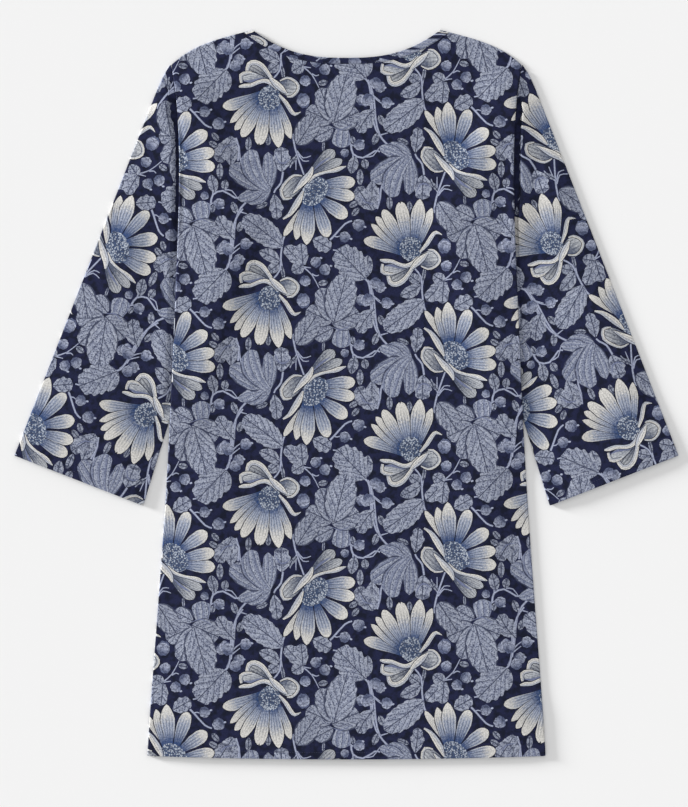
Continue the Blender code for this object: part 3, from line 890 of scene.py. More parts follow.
def places_on_shapes(here, tops, shapes):
    """Each corner's place on the shape that shows there: along it from base to tip, and off to its side."""
    table = [NO_SHAPE] + shapes
    top = tops + 1
    base = np.array([shape.base for shape in table])[top][:, None]
    along = np.array([shape.along for shape in table])[top][:, None]
    side = np.array([shape.side for shape in table])[top][:, None]
    bend = np.array([shape.bend for shape in table])[top][:, None]
    share = np.sum((here - base) * along, axis=2) / np.sum(along * along, axis=2)
    off = np.sum((here - base) * side, axis=2) / np.sum(side * side, axis=2)
    off = off - bend * 4 * share * (1 - share)
    on_shape = (top > 0)[:, None]
    motif = np.stack([np.where(on_shape, share, 0.0), np.where(on_shape, off, 0.0)], axis=2)
    order = np.argsort(tops, kind="stable")
    starts = np.searchsorted(tops[order], np.arange(len(shapes) + 1))
    for number, shape in enumerate(shapes):
        mine = order[starts[number] : starts[number + 1]]
        if shape.path is not None and len(mine):
            motif[mine] = along_strap(here[mine], shape)
    return motif


def ink_of(shape):
    """What the shader has to know of a shape. Each of the four numbers is kept between 0 and 1."""
    return shape.kind / KINDS, shape.tone, shape.detail, half_width(shape) / WIDEST


def thicken(piece):
    """Gives a sheet its thickness, and the wrong side's material on its back."""
    bpy.ops.object.select_all(action="DESELECT")
    piece.select_set(True)
    bpy.context.view_layer.objects.active = piece
    bpy.ops.object.modifier_add(type="SOLIDIFY")
    thickness = piece.modifiers[0]
    thickness.thickness = CLOTH
    thickness.offset = -1
    thickness.material_offset = 1
    bpy.ops.object.modifier_apply(modifier=thickness.name)


def lay_sheet(name, flat, triangles, tops, shapes, lay, turn_over, materials):
    """Makes the mesh of a sheet, laid in place, with its print on it and its thickness behind it."""
    places = lay(flat / MM)
    if turn_over:
        triangles = triangles[:, ::-1]
    normals = point_normals(places, triangles)
    mesh = bpy.data.meshes.new(name)
    mesh.from_pydata(places.tolist(), [], triangles.tolist())
    for material in materials:
        mesh.materials.append(material)
    here = flat[triangles]
    mesh.uv_layers.new(name="cloth").data.foreach_set("uv", (here / MM).ravel())
    mesh.uv_layers.new(name="motif").data.foreach_set("uv", places_on_shapes(here, tops, shapes).ravel())
    inks = np.array([ink_of(shape) for shape in [NO_SHAPE] + shapes])[tops + 1]
    ink = mesh.color_attributes.new(name="ink", type="FLOAT_COLOR", domain="CORNER")
    ink.data.foreach_set("color", np.repeat(inks, 3, axis=0).astype(np.float32).ravel())

    piece = bpy.data.objects.new(name, mesh)
    bpy.context.scene.collection.objects.link(piece)
    mesh.shade_smooth()
    thicken(piece)
    if len(mesh.vertices) == 2 * len(places):
        both = np.concatenate([normals, -normals])
        mesh.normals_split_custom_set_from_vertices(both.tolist())
    else:
        print(name, "keeps its own normals:", len(mesh.vertices), "points for", len(places))
    heights = [point.co[2] * MM for point in mesh.vertices]
    lowest, highest = round(min(heights), 2), round(max(heights), 2)
    print(name, "has", len(mesh.polygons), "faces, from", lowest, "to", highest, "mm high")
    return piece


# %% [markdown]
# Next the colours. The print needs three things to be known at each point: the kind of shape that it lies
# on, the place within that shape, and the place on the cloth. The first two are stored with each triangle.
# From these a node group works out petals that turn from blue to cream, leaves with dark veins, stippled
# discs and mottled navy between them. A second group is the weave itself. Both are shared by the right
# side, the paler wrong side and the binding, so they are groups, and the shader stays in each material.

# %% Small helpers for nodes
def new_node(tree, kind, inputs=None, **settings):
    node = tree.nodes.new(kind)
    for name, value in settings.items():
        setattr(node, name, value)
    for key, value in (inputs or {}).items():
        if isinstance(value, bpy.types.NodeSocket):
            tree.links.new(value, node.inputs[key])
        else:
            node.inputs[key].default_value = value
    return node


def reckon(tree, operation, *values):
    inputs = dict(enumerate(values))
    return new_node(tree, "ShaderNodeMath", inputs, operation=operation).outputs[0]


def ramp(tree, value, low, high):
    """Goes smoothly from 0 to 1 as value goes from low to high."""
    inputs = {"Value": value, "From Min": low, "From Max": high}
    node = new_node(tree, "ShaderNodeMapRange", inputs, interpolation_type="SMOOTHSTEP")
    return node.outputs[0]


def tint(tree, share, first, second, blend_type="MIX"):
    node = new_node(tree, "ShaderNodeMix", data_type="RGBA", blend_type=blend_type, clamp_factor=True)
    for index, value in ((0, share), (6, first), (7, second)):
        if isinstance(value, bpy.types.NodeSocket):
            tree.links.new(value, node.inputs[index])
        else:
            node.inputs[index].default_value = value
    return node.outputs[2]


def noise(tree, vector, scale, detail):
    inputs = {"Vector": vector, "Scale": scale, "Detail": detail}
    return new_node(tree, "ShaderNodeTexNoise", inputs).outputs["Fac"]


def dye(red, green, blue):
    """A dye's colour, as a paint chart gives it from 0 to 255, for a shader."""
    share = np.array([red, green, blue]) / 255
    linear = np.where(share <= 0.04045, share / 12.92, ((share + 0.055) / 1.055) ** 2.4)
    return (*linear.tolist(), 1.0)


def new_group(name, inputs, outputs):
    group = bpy.data.node_groups.new(name, "ShaderNodeTree")
    for title, kind in inputs:
        group.interface.new_socket(title, in_out="INPUT", socket_type=kind)
    for title, kind in outputs:
        group.interface.new_socket(title, in_out="OUTPUT", socket_type=kind)
    start = group.nodes.new("NodeGroupInput")
    end = group.nodes.new("NodeGroupOutput")
    return group, start, end


# %% The printed inks
NAVY = dye(31, 35, 64)
NAVY_DEEP = dye(20, 24, 42)
LEAF_BLUE = dye(167, 173, 189)
LEAF_SPECK = dye(62, 69, 97)
LEAF_EDGE = dye(176, 181, 193)
VEIN = dye(40, 46, 70)
FAN_BAND = dye(100, 108, 136)
CREAM = dye(197, 195, 191)
PETAL_MIDDLE = dye(144, 153, 173)
PETAL_BLUE = dye(38, 64, 110)
PETAL_LINE = dye(54, 59, 78)
DISC_BLUE = dye(66, 84, 116)
DISC_DOT = dye(198, 206, 218)
CUP_DEEP = dye(84, 92, 112)
CUP_LIGHT = dye(180, 183, 188)
CUP_LINE = dye(48, 52, 70)
BERRY_DARK = dye(88, 96, 124)
BERRY_LIGHT = dye(164, 170, 190)
STEM_LIGHT = dye(158, 164, 184)
STEM_DARK = dye(98, 105, 134)
SHADE_LIGHT = dye(96, 103, 130)

CELLS = 0.46
KIND_MARGIN = 0.04


def build_inks():
    """Works out the print's colour at a place. Scales are for places in millimetres."""
    inputs = [("Cloth", "NodeSocketVector"), ("Motif", "NodeSocketVector")]
    inputs += [("Ink", "NodeSocketColor"), ("Half width", "NodeSocketFloat")]
    group, start, end = new_group("printed inks", inputs, [("Colour", "NodeSocketColor")])

    def times(first, second):
        return reckon(group, "MULTIPLY", first, second)

    def plus(first, second):
        return reckon(group, "ADD", first, second)

    def inverse(value):
        return reckon(group, "SUBTRACT", 1.0, value)

    def lines(value, thin, thick):
        """Lines at every half of a value that grows across them, from thin to thick."""
        gap = reckon(group, "ABSOLUTE", reckon(group, "SUBTRACT", reckon(group, "FRACT", value), 0.5))
        return inverse(ramp(group, gap, thin, thick))

    scaled = {0: start.outputs["Cloth"], "Scale": MM}
    cloth = new_node(group, "ShaderNodeVectorMath", scaled, operation="SCALE").outputs[0]
    place = new_node(group, "ShaderNodeSeparateXYZ", {0: start.outputs["Motif"]})
    share, off = place.outputs[0], place.outputs[1]
    ink = new_node(group, "ShaderNodeSeparateColor", {0: start.outputs["Ink"]})
    kind, tone, detail = ink.outputs[0], ink.outputs[1], ink.outputs[2]

    patches = noise(group, cloth, 0.11, 3.0)
    grain = noise(group, cloth, 0.50, 4.0)
    fine = noise(group, cloth, 1.9, 2.0)
    wander = reckon(group, "SUBTRACT", noise(group, cloth, 0.35, 2.0), 0.5)
    cells = new_node(group, "ShaderNodeTexVoronoi", {"Vector": cloth, "Scale": CELLS, "Randomness": 0.8})
    speck = inverse(ramp(group, cells.outputs["Distance"], 0.18, 0.64))

    # How far out towards the outline, from 0 at the middle line to 1.
    swell = new_node(group, "ShaderNodeFloatCurve", {"Value": share})
    curve = swell.mapping.curves[0]
    curve.points[0].location = (0.0, 0.42)
    curve.points[1].location = (1.0, 0.25)
    for where, width in ((0.3, 0.76), (0.6, 1.0), (0.85, 0.88)):
        curve.points.new(where, width)
    swell.mapping.update()
    out = reckon(group, "DIVIDE", off, swell.outputs[0])
    out_size = reckon(group, "ABSOLUTE", out)
    off_size = reckon(group, "ABSOLUTE", off)

    # Ground: navy, darker in patches.
    ground = tint(group, ramp(group, plus(patches, times(grain, 0.35)), 0.60, 0.80), NAVY, NAVY_DEEP)

    # Leaves: dark side veins that run forward from the middle vein, a shade beside each, and specks.
    off_mm = times(off_size, times(start.outputs["Half width"], WIDEST))
    slant = reckon(group, "SUBTRACT", share, times(out_size, times(detail, 0.85)))
    veins = times(slant, reckon(group, "MULTIPLY_ADD", detail, 4.8, 1.4))
    veins = plus(veins, times(wander, 0.6))
    side_vein = lines(veins, 0.02, 0.13)
    middle = inverse(ramp(group, off_mm, 0.30, 0.95))
    beside = reckon(group, "FRACT", plus(veins, 0.5))
    vein = reckon(group, "MAXIMUM", times(side_vein, 0.72), times(middle, 0.90))
    mottle = ramp(group, patches, 0.35, 0.65)
    plain = tint(group, times(mottle, 0.25), LEAF_BLUE, FAN_BAND)
    plain = tint(group, times(speck, 0.92), plain, LEAF_SPECK)
    leaf_colour = tint(group, times(ramp(group, out_size, 0.70, 0.98), 0.35), plain, LEAF_EDGE)
    leaf_colour = tint(group, times(inverse(beside), 0.38), leaf_colour, LEAF_SPECK)
    leaf_colour = tint(group, vein, leaf_colour, VEIN)

    # Stripes from base to tip: broad pleats on the fan leaf, fine lines on the petals.
    pleats = plus(times(out, 1.6), times(wander, 0.5))
    pleat = reckon(group, "FRACT", pleats)
    narrow = lines(plus(times(out, 2.3), times(wander, 0.9)), 0.03, 0.20)
    bright = lines(plus(times(out, 2.3), plus(times(wander, 0.9), 0.42)), 0.02, 0.14)
    hairs = lines(plus(times(out, 5.2), times(wander, 1.6)), 0.05, 0.30)
    fan = tint(group, times(ramp(group, pleat, 0.0, 1.0), 0.75), plain, FAN_BAND)
    fan = tint(group, times(inverse(ramp(group, pleat, 0.02, 0.16)), 0.55), fan, LEAF_EDGE)
    fan = tint(group, times(ramp(group, pleat, 0.86, 0.96), 0.60), fan, VEIN)
    fan = tint(group, times(hairs, 0.22), fan, VEIN)

    # Petals: blue at the base, cream towards the tip, with dark and light lines that fade out.
    reach = reckon(group, "MULTIPLY_ADD", detail, 0.58, 0.12)
    along = plus(share, plus(times(wander, 0.45), times(hairs, -0.07)))
    petal_colour = tint(group, ramp(group, along, 0.0, reach), PETAL_BLUE, PETAL_MIDDLE)
    petal_colour = tint(group, ramp(group, along, reach, plus(reach, 0.34)), petal_colour, CREAM)
    fading = inverse(ramp(group, share, 0.50, 0.98))
    petal_colour = tint(group, times(times(hairs, 0.28), fading), petal_colour, PETAL_LINE)
    petal_colour = tint(group, times(times(narrow, 0.62), fading), petal_colour, PETAL_LINE)
    petal_colour = tint(group, times(times(bright, 0.5), ramp(group, share, 0.15, 0.5)), petal_colour, CREAM)
    rim = times(times(ramp(group, out_size, 0.72, 0.90), 0.28), ramp(group, share, 0.1, 0.5))
    petal_colour = tint(group, rim, petal_colour, CREAM)

    # Discs: pale dots on blue, thicker on the ground towards the rim.
    dots = new_node(group, "ShaderNodeTexVoronoi", {"Vector": cloth, "Scale": CELLS, "Randomness": 0.9})
    spread = reckon(group, "MULTIPLY_ADD", ramp(group, out_size, 0.3, 0.9), 0.16, 0.52)
    dot_edge = new_node(group, "ShaderNodeMapRange", {0: dots.outputs["Distance"], 1: 0.12, 2: spread})
    dot = inverse(dot_edge.outputs[0])
    disc = tint(group, ramp(group, grain, 0.4, 0.6), DISC_BLUE, PETAL_LINE)
    disc = tint(group, times(dot, 0.95), disc, DISC_DOT)

    # Folded petals: a hatched inside, and cream edges with a few lines along them.
    into_cup = plus(share, plus(wander, times(off, 0.25)))
    cup_colour = tint(group, ramp(group, into_cup, 0.05, 0.95), CUP_DEEP, CUP_LIGHT)
    for stripes, most, least in ((narrow, 0.60, 0.20), (hairs, 0.4, 0.15)):
        hatching = times(stripes, reckon(group, "MULTIPLY_ADD", detail, most, least))
        cup_colour = tint(group, hatching, cup_colour, CUP_LINE)
    band = tint(group, times(ramp(group, plus(off, wander), -0.6, 1.1), 0.75), CREAM, PETAL_MIDDLE)
    along_band = lines(plus(times(off, 1.3), times(wander, 1.2)), 0.03, 0.22)
    band = tint(group, times(along_band, 0.55), band, PETAL_LINE)

    # Berries are lighter on one side and have two crossed clefts. Stems are darker at their edges.
    berry_side = ramp(group, plus(off, wander), -0.9, 0.9)
    berry_colour = tint(group, berry_side, BERRY_DARK, BERRY_LIGHT)
    berry_colour = tint(group, times(speck, 0.45), berry_colour, LEAF_SPECK)
    clefts = lines(plus(times(off, 0.95), wander), 0.03, 0.14)
    across_clefts = lines(plus(times(share, 1.7), plus(times(off_size, -0.5), wander)), 0.03, 0.12)
    both_clefts = reckon(group, "MAXIMUM", clefts, across_clefts)
    berry_colour = tint(group, times(both_clefts, 0.62), berry_colour, VEIN)
    stem_colour = tint(group, ramp(group, off_size, 0.25, 1.0), STEM_LIGHT, STEM_DARK)

    colour = ground
    layers = [
        (LEAF, leaf_colour),
        (PETAL, petal_colour),
        (DISC, disc),
        (CUP, cup_colour),
        (BAND, band),
        (BERRY, berry_colour),
        (STEM, stem_colour),
        (FAN, fan),
        (SHADE, tint(group, ramp(group, tone, 0.3, 0.9), NAVY_DEEP, SHADE_LIGHT)),
    ]
    for number, layer in layers:
        colour = tint(group, reckon(group, "COMPARE", kind, number / KINDS, KIND_MARGIN), colour, layer)

    # The tone of each shape, then the print's grain over everything.
    brightness = reckon(group, "MULTIPLY_ADD", tone, 0.60, 0.70)
    printed = reckon(group, "GREATER_THAN", kind, 0.5 / KINDS)
    brightness = plus(times(brightness, printed), inverse(printed))
    grains = reckon(group, "MULTIPLY_ADD", plus(grain, fine), 1.30, -0.28)
    colour = tint(group, 1.0, colour, times(brightness, grains), "MULTIPLY")
    group.links.new(colour, end.inputs["Colour"])
    return group


INKS = build_inks()
print(INKS.name, "has", len(INKS.nodes), "nodes")


# %% The weave
def build_weave():
    """A plain weave: two sets of threads that pass over and under each other."""
    inputs = [("Cloth", "NodeSocketVector"), ("Threads", "NodeSocketFloat")]
    outputs = [("Height", "NodeSocketFloat"), ("Shade", "NodeSocketFloat")]
    group, start, end = new_group("plain weave", inputs, outputs)
    scaled = {0: start.outputs["Cloth"], "Scale": start.outputs["Threads"]}
    threads = new_node(group, "ShaderNodeVectorMath", scaled, operation="SCALE").outputs[0]
    place = new_node(group, "ShaderNodeSeparateXYZ", {0: threads})
    across = reckon(group, "SINE", reckon(group, "MULTIPLY", place.outputs[0], pi))
    down = reckon(group, "SINE", reckon(group, "MULTIPLY", place.outputs[1], pi))
    over = reckon(group, "MULTIPLY", across, down)
    slubs = noise(group, threads, 0.08, 2.0)
    height = reckon(group, "ADD", reckon(group, "MULTIPLY", over, 0.5), slubs)
    group.links.new(height, end.inputs["Height"])
    stretch = {0: threads, 1: (0.5, 0.02, 1.0)}
    stretched = new_node(group, "ShaderNodeVectorMath", stretch, operation="MULTIPLY").outputs[0]
    streaks = noise(group, stretched, 1.0, 2.0)
    group.links.new(reckon(group, "MULTIPLY_ADD", streaks, 0.16, 0.92), end.inputs["Shade"])
    return group


WEAVE = build_weave()
print(WEAVE.name, "has", len(WEAVE.nodes), "nodes")


# %% The cloth's two sides
THREADS_A_METRE = 2600.0
WRONG_SIDE = dye(112, 116, 140)
WRONG_SIDE_FADE = 0.6


def cloth_material(name, wrong_side=False):
    material = bpy.data.materials.new(name)
    material.use_nodes = True
    tree = material.node_tree
    shader = tree.nodes["Principled BSDF"]
    shader.inputs["Roughness"].default_value = 0.9
    shader.inputs["Specular IOR Level"].default_value = 0.15
    shader.inputs["Sheen Weight"].default_value = 0.02
    shader.inputs["Sheen Roughness"].default_value = 0.5
    cloth = new_node(tree, "ShaderNodeUVMap", uv_map="cloth").outputs[0]
    motif = new_node(tree, "ShaderNodeUVMap", uv_map="motif").outputs[0]
    ink = new_node(tree, "ShaderNodeAttribute", attribute_name="ink")
    inks = new_node(tree, "ShaderNodeGroup", node_tree=INKS)
    tree.links.new(cloth, inks.inputs["Cloth"])
    tree.links.new(motif, inks.inputs["Motif"])
    tree.links.new(ink.outputs["Color"], inks.inputs["Ink"])
    tree.links.new(ink.outputs["Alpha"], inks.inputs["Half width"])
    weave = new_node(tree, "ShaderNodeGroup", node_tree=WEAVE)
    tree.links.new(cloth, weave.inputs["Cloth"])
    weave.inputs["Threads"].default_value = THREADS_A_METRE
    colour = tint(tree, 1.0, inks.outputs["Colour"], weave.outputs["Shade"], "MULTIPLY")
    if wrong_side:
        colour = tint(tree, WRONG_SIDE_FADE, colour, WRONG_SIDE)
    tree.links.new(colour, shader.inputs["Base Color"])
    relief = {"Height": weave.outputs["Height"], "Strength": 0.35, "Distance": 0.0001}
    bump = new_node(tree, "ShaderNodeBump", relief)
    tree.links.new(bump.outputs[0], shader.inputs["Normal"])
    return material


RIGHT_SIDE_CLOTH = cloth_material("printed cloth")
WRONG_SIDE_CLOTH = cloth_material("printed cloth, wrong side", wrong_side=True)
print("materials:", RIGHT_SIDE_CLOTH.name, "and", WRONG_SIDE_CLOTH.name)

# %% [markdown]
# The surface comes before the cloth, because each sheet says what it rests on.

# %% The surface
SURFACE_SIZE = 40.0
SURFACE_BELOW = 0.0003
bpy.ops.object.select_all(action="DESELECT")
bpy.ops.mesh.primitive_plane_add(size=SURFACE_SIZE, location=(0.0, 0.0, -SURFACE_BELOW))
bpy.ops.object.transform_apply(location=True)
surface = bpy.context.active_object
surface.name = "white_surface"
white = bpy.data.materials.new("white surface")
white.use_nodes = True
white.node_tree.nodes["Principled BSDF"].inputs["Base Color"].default_value = (0.90, 0.90, 0.90, 1.0)
white.node_tree.nodes["Principled BSDF"].inputs["Roughness"].default_value = 0.9
surface.data.materials.append(white)
print("the surface is", SURFACE_SIZE, "metres wide, and", SURFACE_BELOW, "below the frame's floor")

# %% [markdown]
# The back is one sheet from the neck to the hem. Its cut goes on past the hem's edge: that extra strip is
# what turns under. Along the sides and shoulders its edge rolls down to meet the front's, where a seam
# joins them on the real garment.

# %% How a panel lies
HEM_RADIUS = 0.00065
SEAM_ROLL = 0.0016
ROLL_STEPS = (0.02, 0.08, 0.2, 0.4, 0.65, 1.0)
TURNED_INSET = 0.0015
SHOULDER_SLANT = 0.92


def round_hem(depth, edge):
    """Where a point of the cut lies once the hem is turned: its depth, and how far inwards it is."""
    past = depth - (edge - HEM_RADIUS)
    turn = np.clip(past / HEM_RADIUS, 0.0, pi)
    turned = edge - HEM_RADIUS + HEM_RADIUS * np.sin(turn) - np.maximum(past - pi * HEM_RADIUS, 0.0)
    return np.where(past <= 0, depth, turned), HEM_RADIUS * (1 - np.cos(turn))


def roll_share(from_edge, width=SEAM_ROLL):
    """How far a seam's edge has rolled: 1 at the very edge, 0 a roll's width away."""
    reach = np.clip(1 - from_edge / width, 0.0, 1.0)
    return 1 - np.sqrt(1 - reach**2)


def seam_distance(across, depth):
    """Distance in from the nearest side or shoulder seam."""
    from_side = body_half_width(depth) - np.abs(across)
    from_shoulder = (depth - shoulder_depth(across)) * SHOULDER_SLANT
    from_shoulder = np.where(np.abs(across) < NECK_HALF_WIDTH, 1.0, from_shoulder)
    return np.maximum(np.minimum(from_side, from_shoulder), 0.0)


def lay_panel(cut, faces_up):
    """Lays a cut panel: the back faces up, and the front faces the surface."""
    across, depth = cut[:, 0], cut[:, 1]
    depth, inwards = round_hem(depth, hem_depth(across))
    top, bottom = back_top(across, depth), front_underside(across, depth)
    height = top if faces_up else bottom
    middle = (top + bottom) / 2
    rolled = roll_share(seam_distance(across, depth)) * (1 - inwards / (2 * HEM_RADIUS))
    height = height + (middle - height) * rolled
    height = height - inwards if faces_up else height + inwards
    return np.column_stack([across, LENGTH / 2 - depth, height])


# %% A panel's cut
def turned_edge(half, end):
    """The edge of the strip that turns under, from where a seam ends. It runs in a little as it turns."""
    past = np.linspace(0.0, pi * HEM_RADIUS + HEM_WIDTH, 8)[1:]
    return np.array([(half - TURNED_INSET * min(1.0, run / (pi * HEM_RADIUS)), end + run) for run in past])


NECK_INSIDE_BINDING = 0.0015
NECK_CORNER = 0.0003


def panel_outline(drop):
    """The flat cut of a panel in metres: neck, right shoulder, right side, hem turn, and back up the left."""
    shares = np.linspace(0.0, 1.0, 40)
    neck = neckline(shares, drop) + np.array([0.0, NECK_INSIDE_BINDING])
    neck[-1] = (NECK_HALF_WIDTH + NECK_CORNER, float(shoulder_depth(NECK_HALF_WIDTH)) + NECK_CORNER)
    acrosses = np.linspace(NECK_HALF_WIDTH + 0.002, SHOULDER_HALF_WIDTH, 36)
    shoulder = np.array([(across, float(shoulder_depth(across))) for across in acrosses])
    side_end = float(hem_depth(SIDE_HALF_WIDTHS[-1])) - HEM_RADIUS
    side = np.array([(float(body_half_width(d)), d) for d in np.linspace(SHOULDER_DROP, side_end, 150)[1:]])
    flap = turned_edge(side[-1, 0], side_end)
    across = np.linspace(side[-1, 0] - TURNED_INSET, 0.0, 60)[1:]
    bottom = np.column_stack([across, hem_depth(across) + (pi - 1) * HEM_RADIUS + HEM_WIDTH])
    half = np.vstack([neck, shoulder, side, flap, bottom])
    other = half[::-1].copy()
    other[:, 0] *= -1
    return np.vstack([half, other[1:-1]])


CREASE_STEPS = (-2.2, -1.3, -0.6, 0.0, 0.6, 1.3, 2.2)


def panel_rings():
    """Lines that follow the seams and the hem's turn, so that they bend smoothly."""
    rings = []
    depths = np.linspace(SHOULDER_DROP + 0.004, LENGTH - 0.007, 150)
    acrosses = np.linspace(NECK_HALF_WIDTH + 0.004, SHOULDER_HALF_WIDTH - 0.004, 30)
    for step in ROLL_STEPS:
        inset = step * SEAM_ROLL
        for side in (-1, 1):
            rings.append(np.column_stack([side * (body_half_width(depths) - inset), depths]))
            shoulder = shoulder_depth(acrosses) + inset / SHOULDER_SLANT
            rings.append(np.column_stack([side * acrosses, shoulder]))
    for crease in BACK_CREASES[:CREASES_WITH_LINES]:
        places = np.linspace(crease.start, crease.end, 40)
        for step in CREASE_STEPS:
            shifted = places + (step * crease.half_width, 0.0)
            rings.append(shifted[np.abs(shifted[:, 0]) < body_half_width(shifted[:, 1]) - 2 * SEAM_ROLL])
    hem_across = np.linspace(-SIDE_HALF_WIDTHS[-1] + 0.003, SIDE_HALF_WIDTHS[-1] - 0.003, 130)
    for turn in np.linspace(0.0, pi, 8):
        rings.append(np.column_stack([hem_across, hem_depth(hem_across) - HEM_RADIUS + turn * HEM_RADIUS]))
    return rings


# %% Print, cut and lay
def print_frame(turn=0.0, mirror=False, shift=(0.0, 0.0)):
    """The matrix and shift that take the chart's squares to a sheet's millimetres."""
    matrix = np.array([[cos(turn), -sin(turn)], [sin(turn), cos(turn)]])
    if mirror:
        matrix = np.array([[-1.0, 0.0], [0.0, 1.0]]) @ matrix
    matrix = matrix * SQUARE * MM
    return matrix, np.array(shift, float) - matrix @ CHART_CENTRE


def make_sheet(name, outline, rings, matrix, shift, lay, turn_over, plain=()):
    """Cuts, prints and lays one sheet. outline, rings and plain are in metres on the flat cut.

    turn_over is for a cut whose right side would otherwise face inwards. plain holds outlines where navy
    ground is laid over the motifs, as painted shade in the sleeves' slots.
    """
    outline = outline * MM
    low, high = outline.min(0), outline.max(0)
    shapes = print_over(low, high, matrix, shift)
    # Navy ground over the print inside the plain outlines: painted shade.
    shapes += [NO_SHAPE._replace(outline=part * MM, base=low) for part in plain]
    spots = scatter(low, high)
    flat, triangles, tops = cut_sheet(outline, [ring * MM for ring in rings], shapes, spots)
    sides = [RIGHT_SIDE_CLOTH, WRONG_SIDE_CLOTH]
    piece = lay_sheet(name, flat, triangles, tops, shapes, lay, turn_over, sides)
    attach(piece, "root")
    return piece, flat_area(outline)


# %% The back and the front
back_outline = panel_outline(BACK_NECK_DROP)
matrix, shift = print_frame()
back, back_area = make_sheet(
    "printed_back", back_outline, panel_rings(), matrix, shift, lambda cut: lay_panel(cut, True), True
)
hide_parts("back_panel")

front_outline = panel_outline(FRONT_NECK_DROP)
matrix, shift = print_frame(mirror=True, shift=(37.0, 64.0))
front, front_area = make_sheet(
    "printed_front", front_outline, panel_rings(), matrix, shift, lambda cut: lay_panel(cut, False), False
)
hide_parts("front_panel")
print("flat areas:", round(back_area, 3), "and", round(front_area, 3), "square metres")

# %% [markdown]
# A sleeve is one piece of cloth, folded along its outer edge and sewn under the arm. Its flat cut is
# worked out from how it lies: the upper half is what the picture shows, and the under half is that half
# turned over about the fold. The print is cut in one with it, so it runs round the fold as on real cloth.

# %% The sleeve's own directions
FOLD_WAY = (CUFF_OUTER - SLEEVE_STRAIGHT_FROM) / np.linalg.norm(CUFF_OUTER - SLEEVE_STRAIGHT_FROM)
INWARD_WAY = np.array([-FOLD_WAY[1], FOLD_WAY[0]])
CUFF_ALONG = float((CUFF_OUTER - SLEEVE_TIP) @ FOLD_WAY)
SLEEVE_ROUND = 0.0013
TIP_SHARE = 0.02
TIP_OUTWARD = 0.001


def sleeve_to_fold(place):
    """A laid place as (along the fold, in from the fold's straight line)."""
    off = np.asarray(place) - CUFF_OUTER
    return np.stack([off @ FOLD_WAY + CUFF_ALONG, off @ INWARD_WAY], axis=-1)


def armhole_seam(share):
    """The sleeve's sewn end, from the shoulder tip down the armhole, then in beneath the body."""
    depth = SLEEVE_TIP[1] + share * (UNDERARM[1] - SLEEVE_TIP[1])
    across = sleeve_reach(depth) + ARMHOLE_GAP
    across = np.where(share < TIP_SHARE, across + (TIP_SHARE - share) / TIP_SHARE * TIP_OUTWARD, across)
    return np.stack([across, depth], axis=-1)


def head_curve():
    """The sleeve's rounded head, from the shoulder tip to where the fold runs straight."""
    turn = np.linspace(0.0, 1.0, 12)[:, None]
    first = SLEEVE_TIP + (SLEEVE_HEAD - SLEEVE_TIP) * turn
    second = SLEEVE_HEAD + (SLEEVE_STRAIGHT_FROM - SLEEVE_HEAD) * turn
    return first + (second - first) * turn


HEAD = sleeve_to_fold(head_curve())
INNER_SEAM = sleeve_to_fold(np.array([armhole_seam(np.array(1.0)), CUFF_INNER]))
ARMHOLE = sleeve_to_fold(armhole_seam(np.linspace(0.0, 1.0, 60)))


def fold_bulge(along):
    """How far in from the straight line the outer fold lies."""
    return np.interp(along, HEAD[:, 0], HEAD[:, 1])


def inner_edge(along):
    """How far in the underarm seam lies, or above it the armhole."""
    seam_at = np.interp(along, INNER_SEAM[:, 0], INNER_SEAM[:, 1])
    return np.where(along < INNER_SEAM[0, 0], 1.0, seam_at)


def sleeve_round(along):
    """Half the laid sleeve's thickness at its edges."""
    at_cuff = CUFF_LOFT * smooth(1 - (CUFF_ALONG - along) / CUFF_LOFT_RUN)
    return SLEEVE_ROUND + at_cuff / 2


print("a sleeve is", round(CUFF_ALONG, 3), "metres long along its fold")

# %% How a sleeve lies
SLOT_EDGE_RAMP = 0.006
CREASE_SIDE_RAMP = 0.02
CREASE_FOLD_RAMP = 0.01
CUFF_SLANT = 0.93


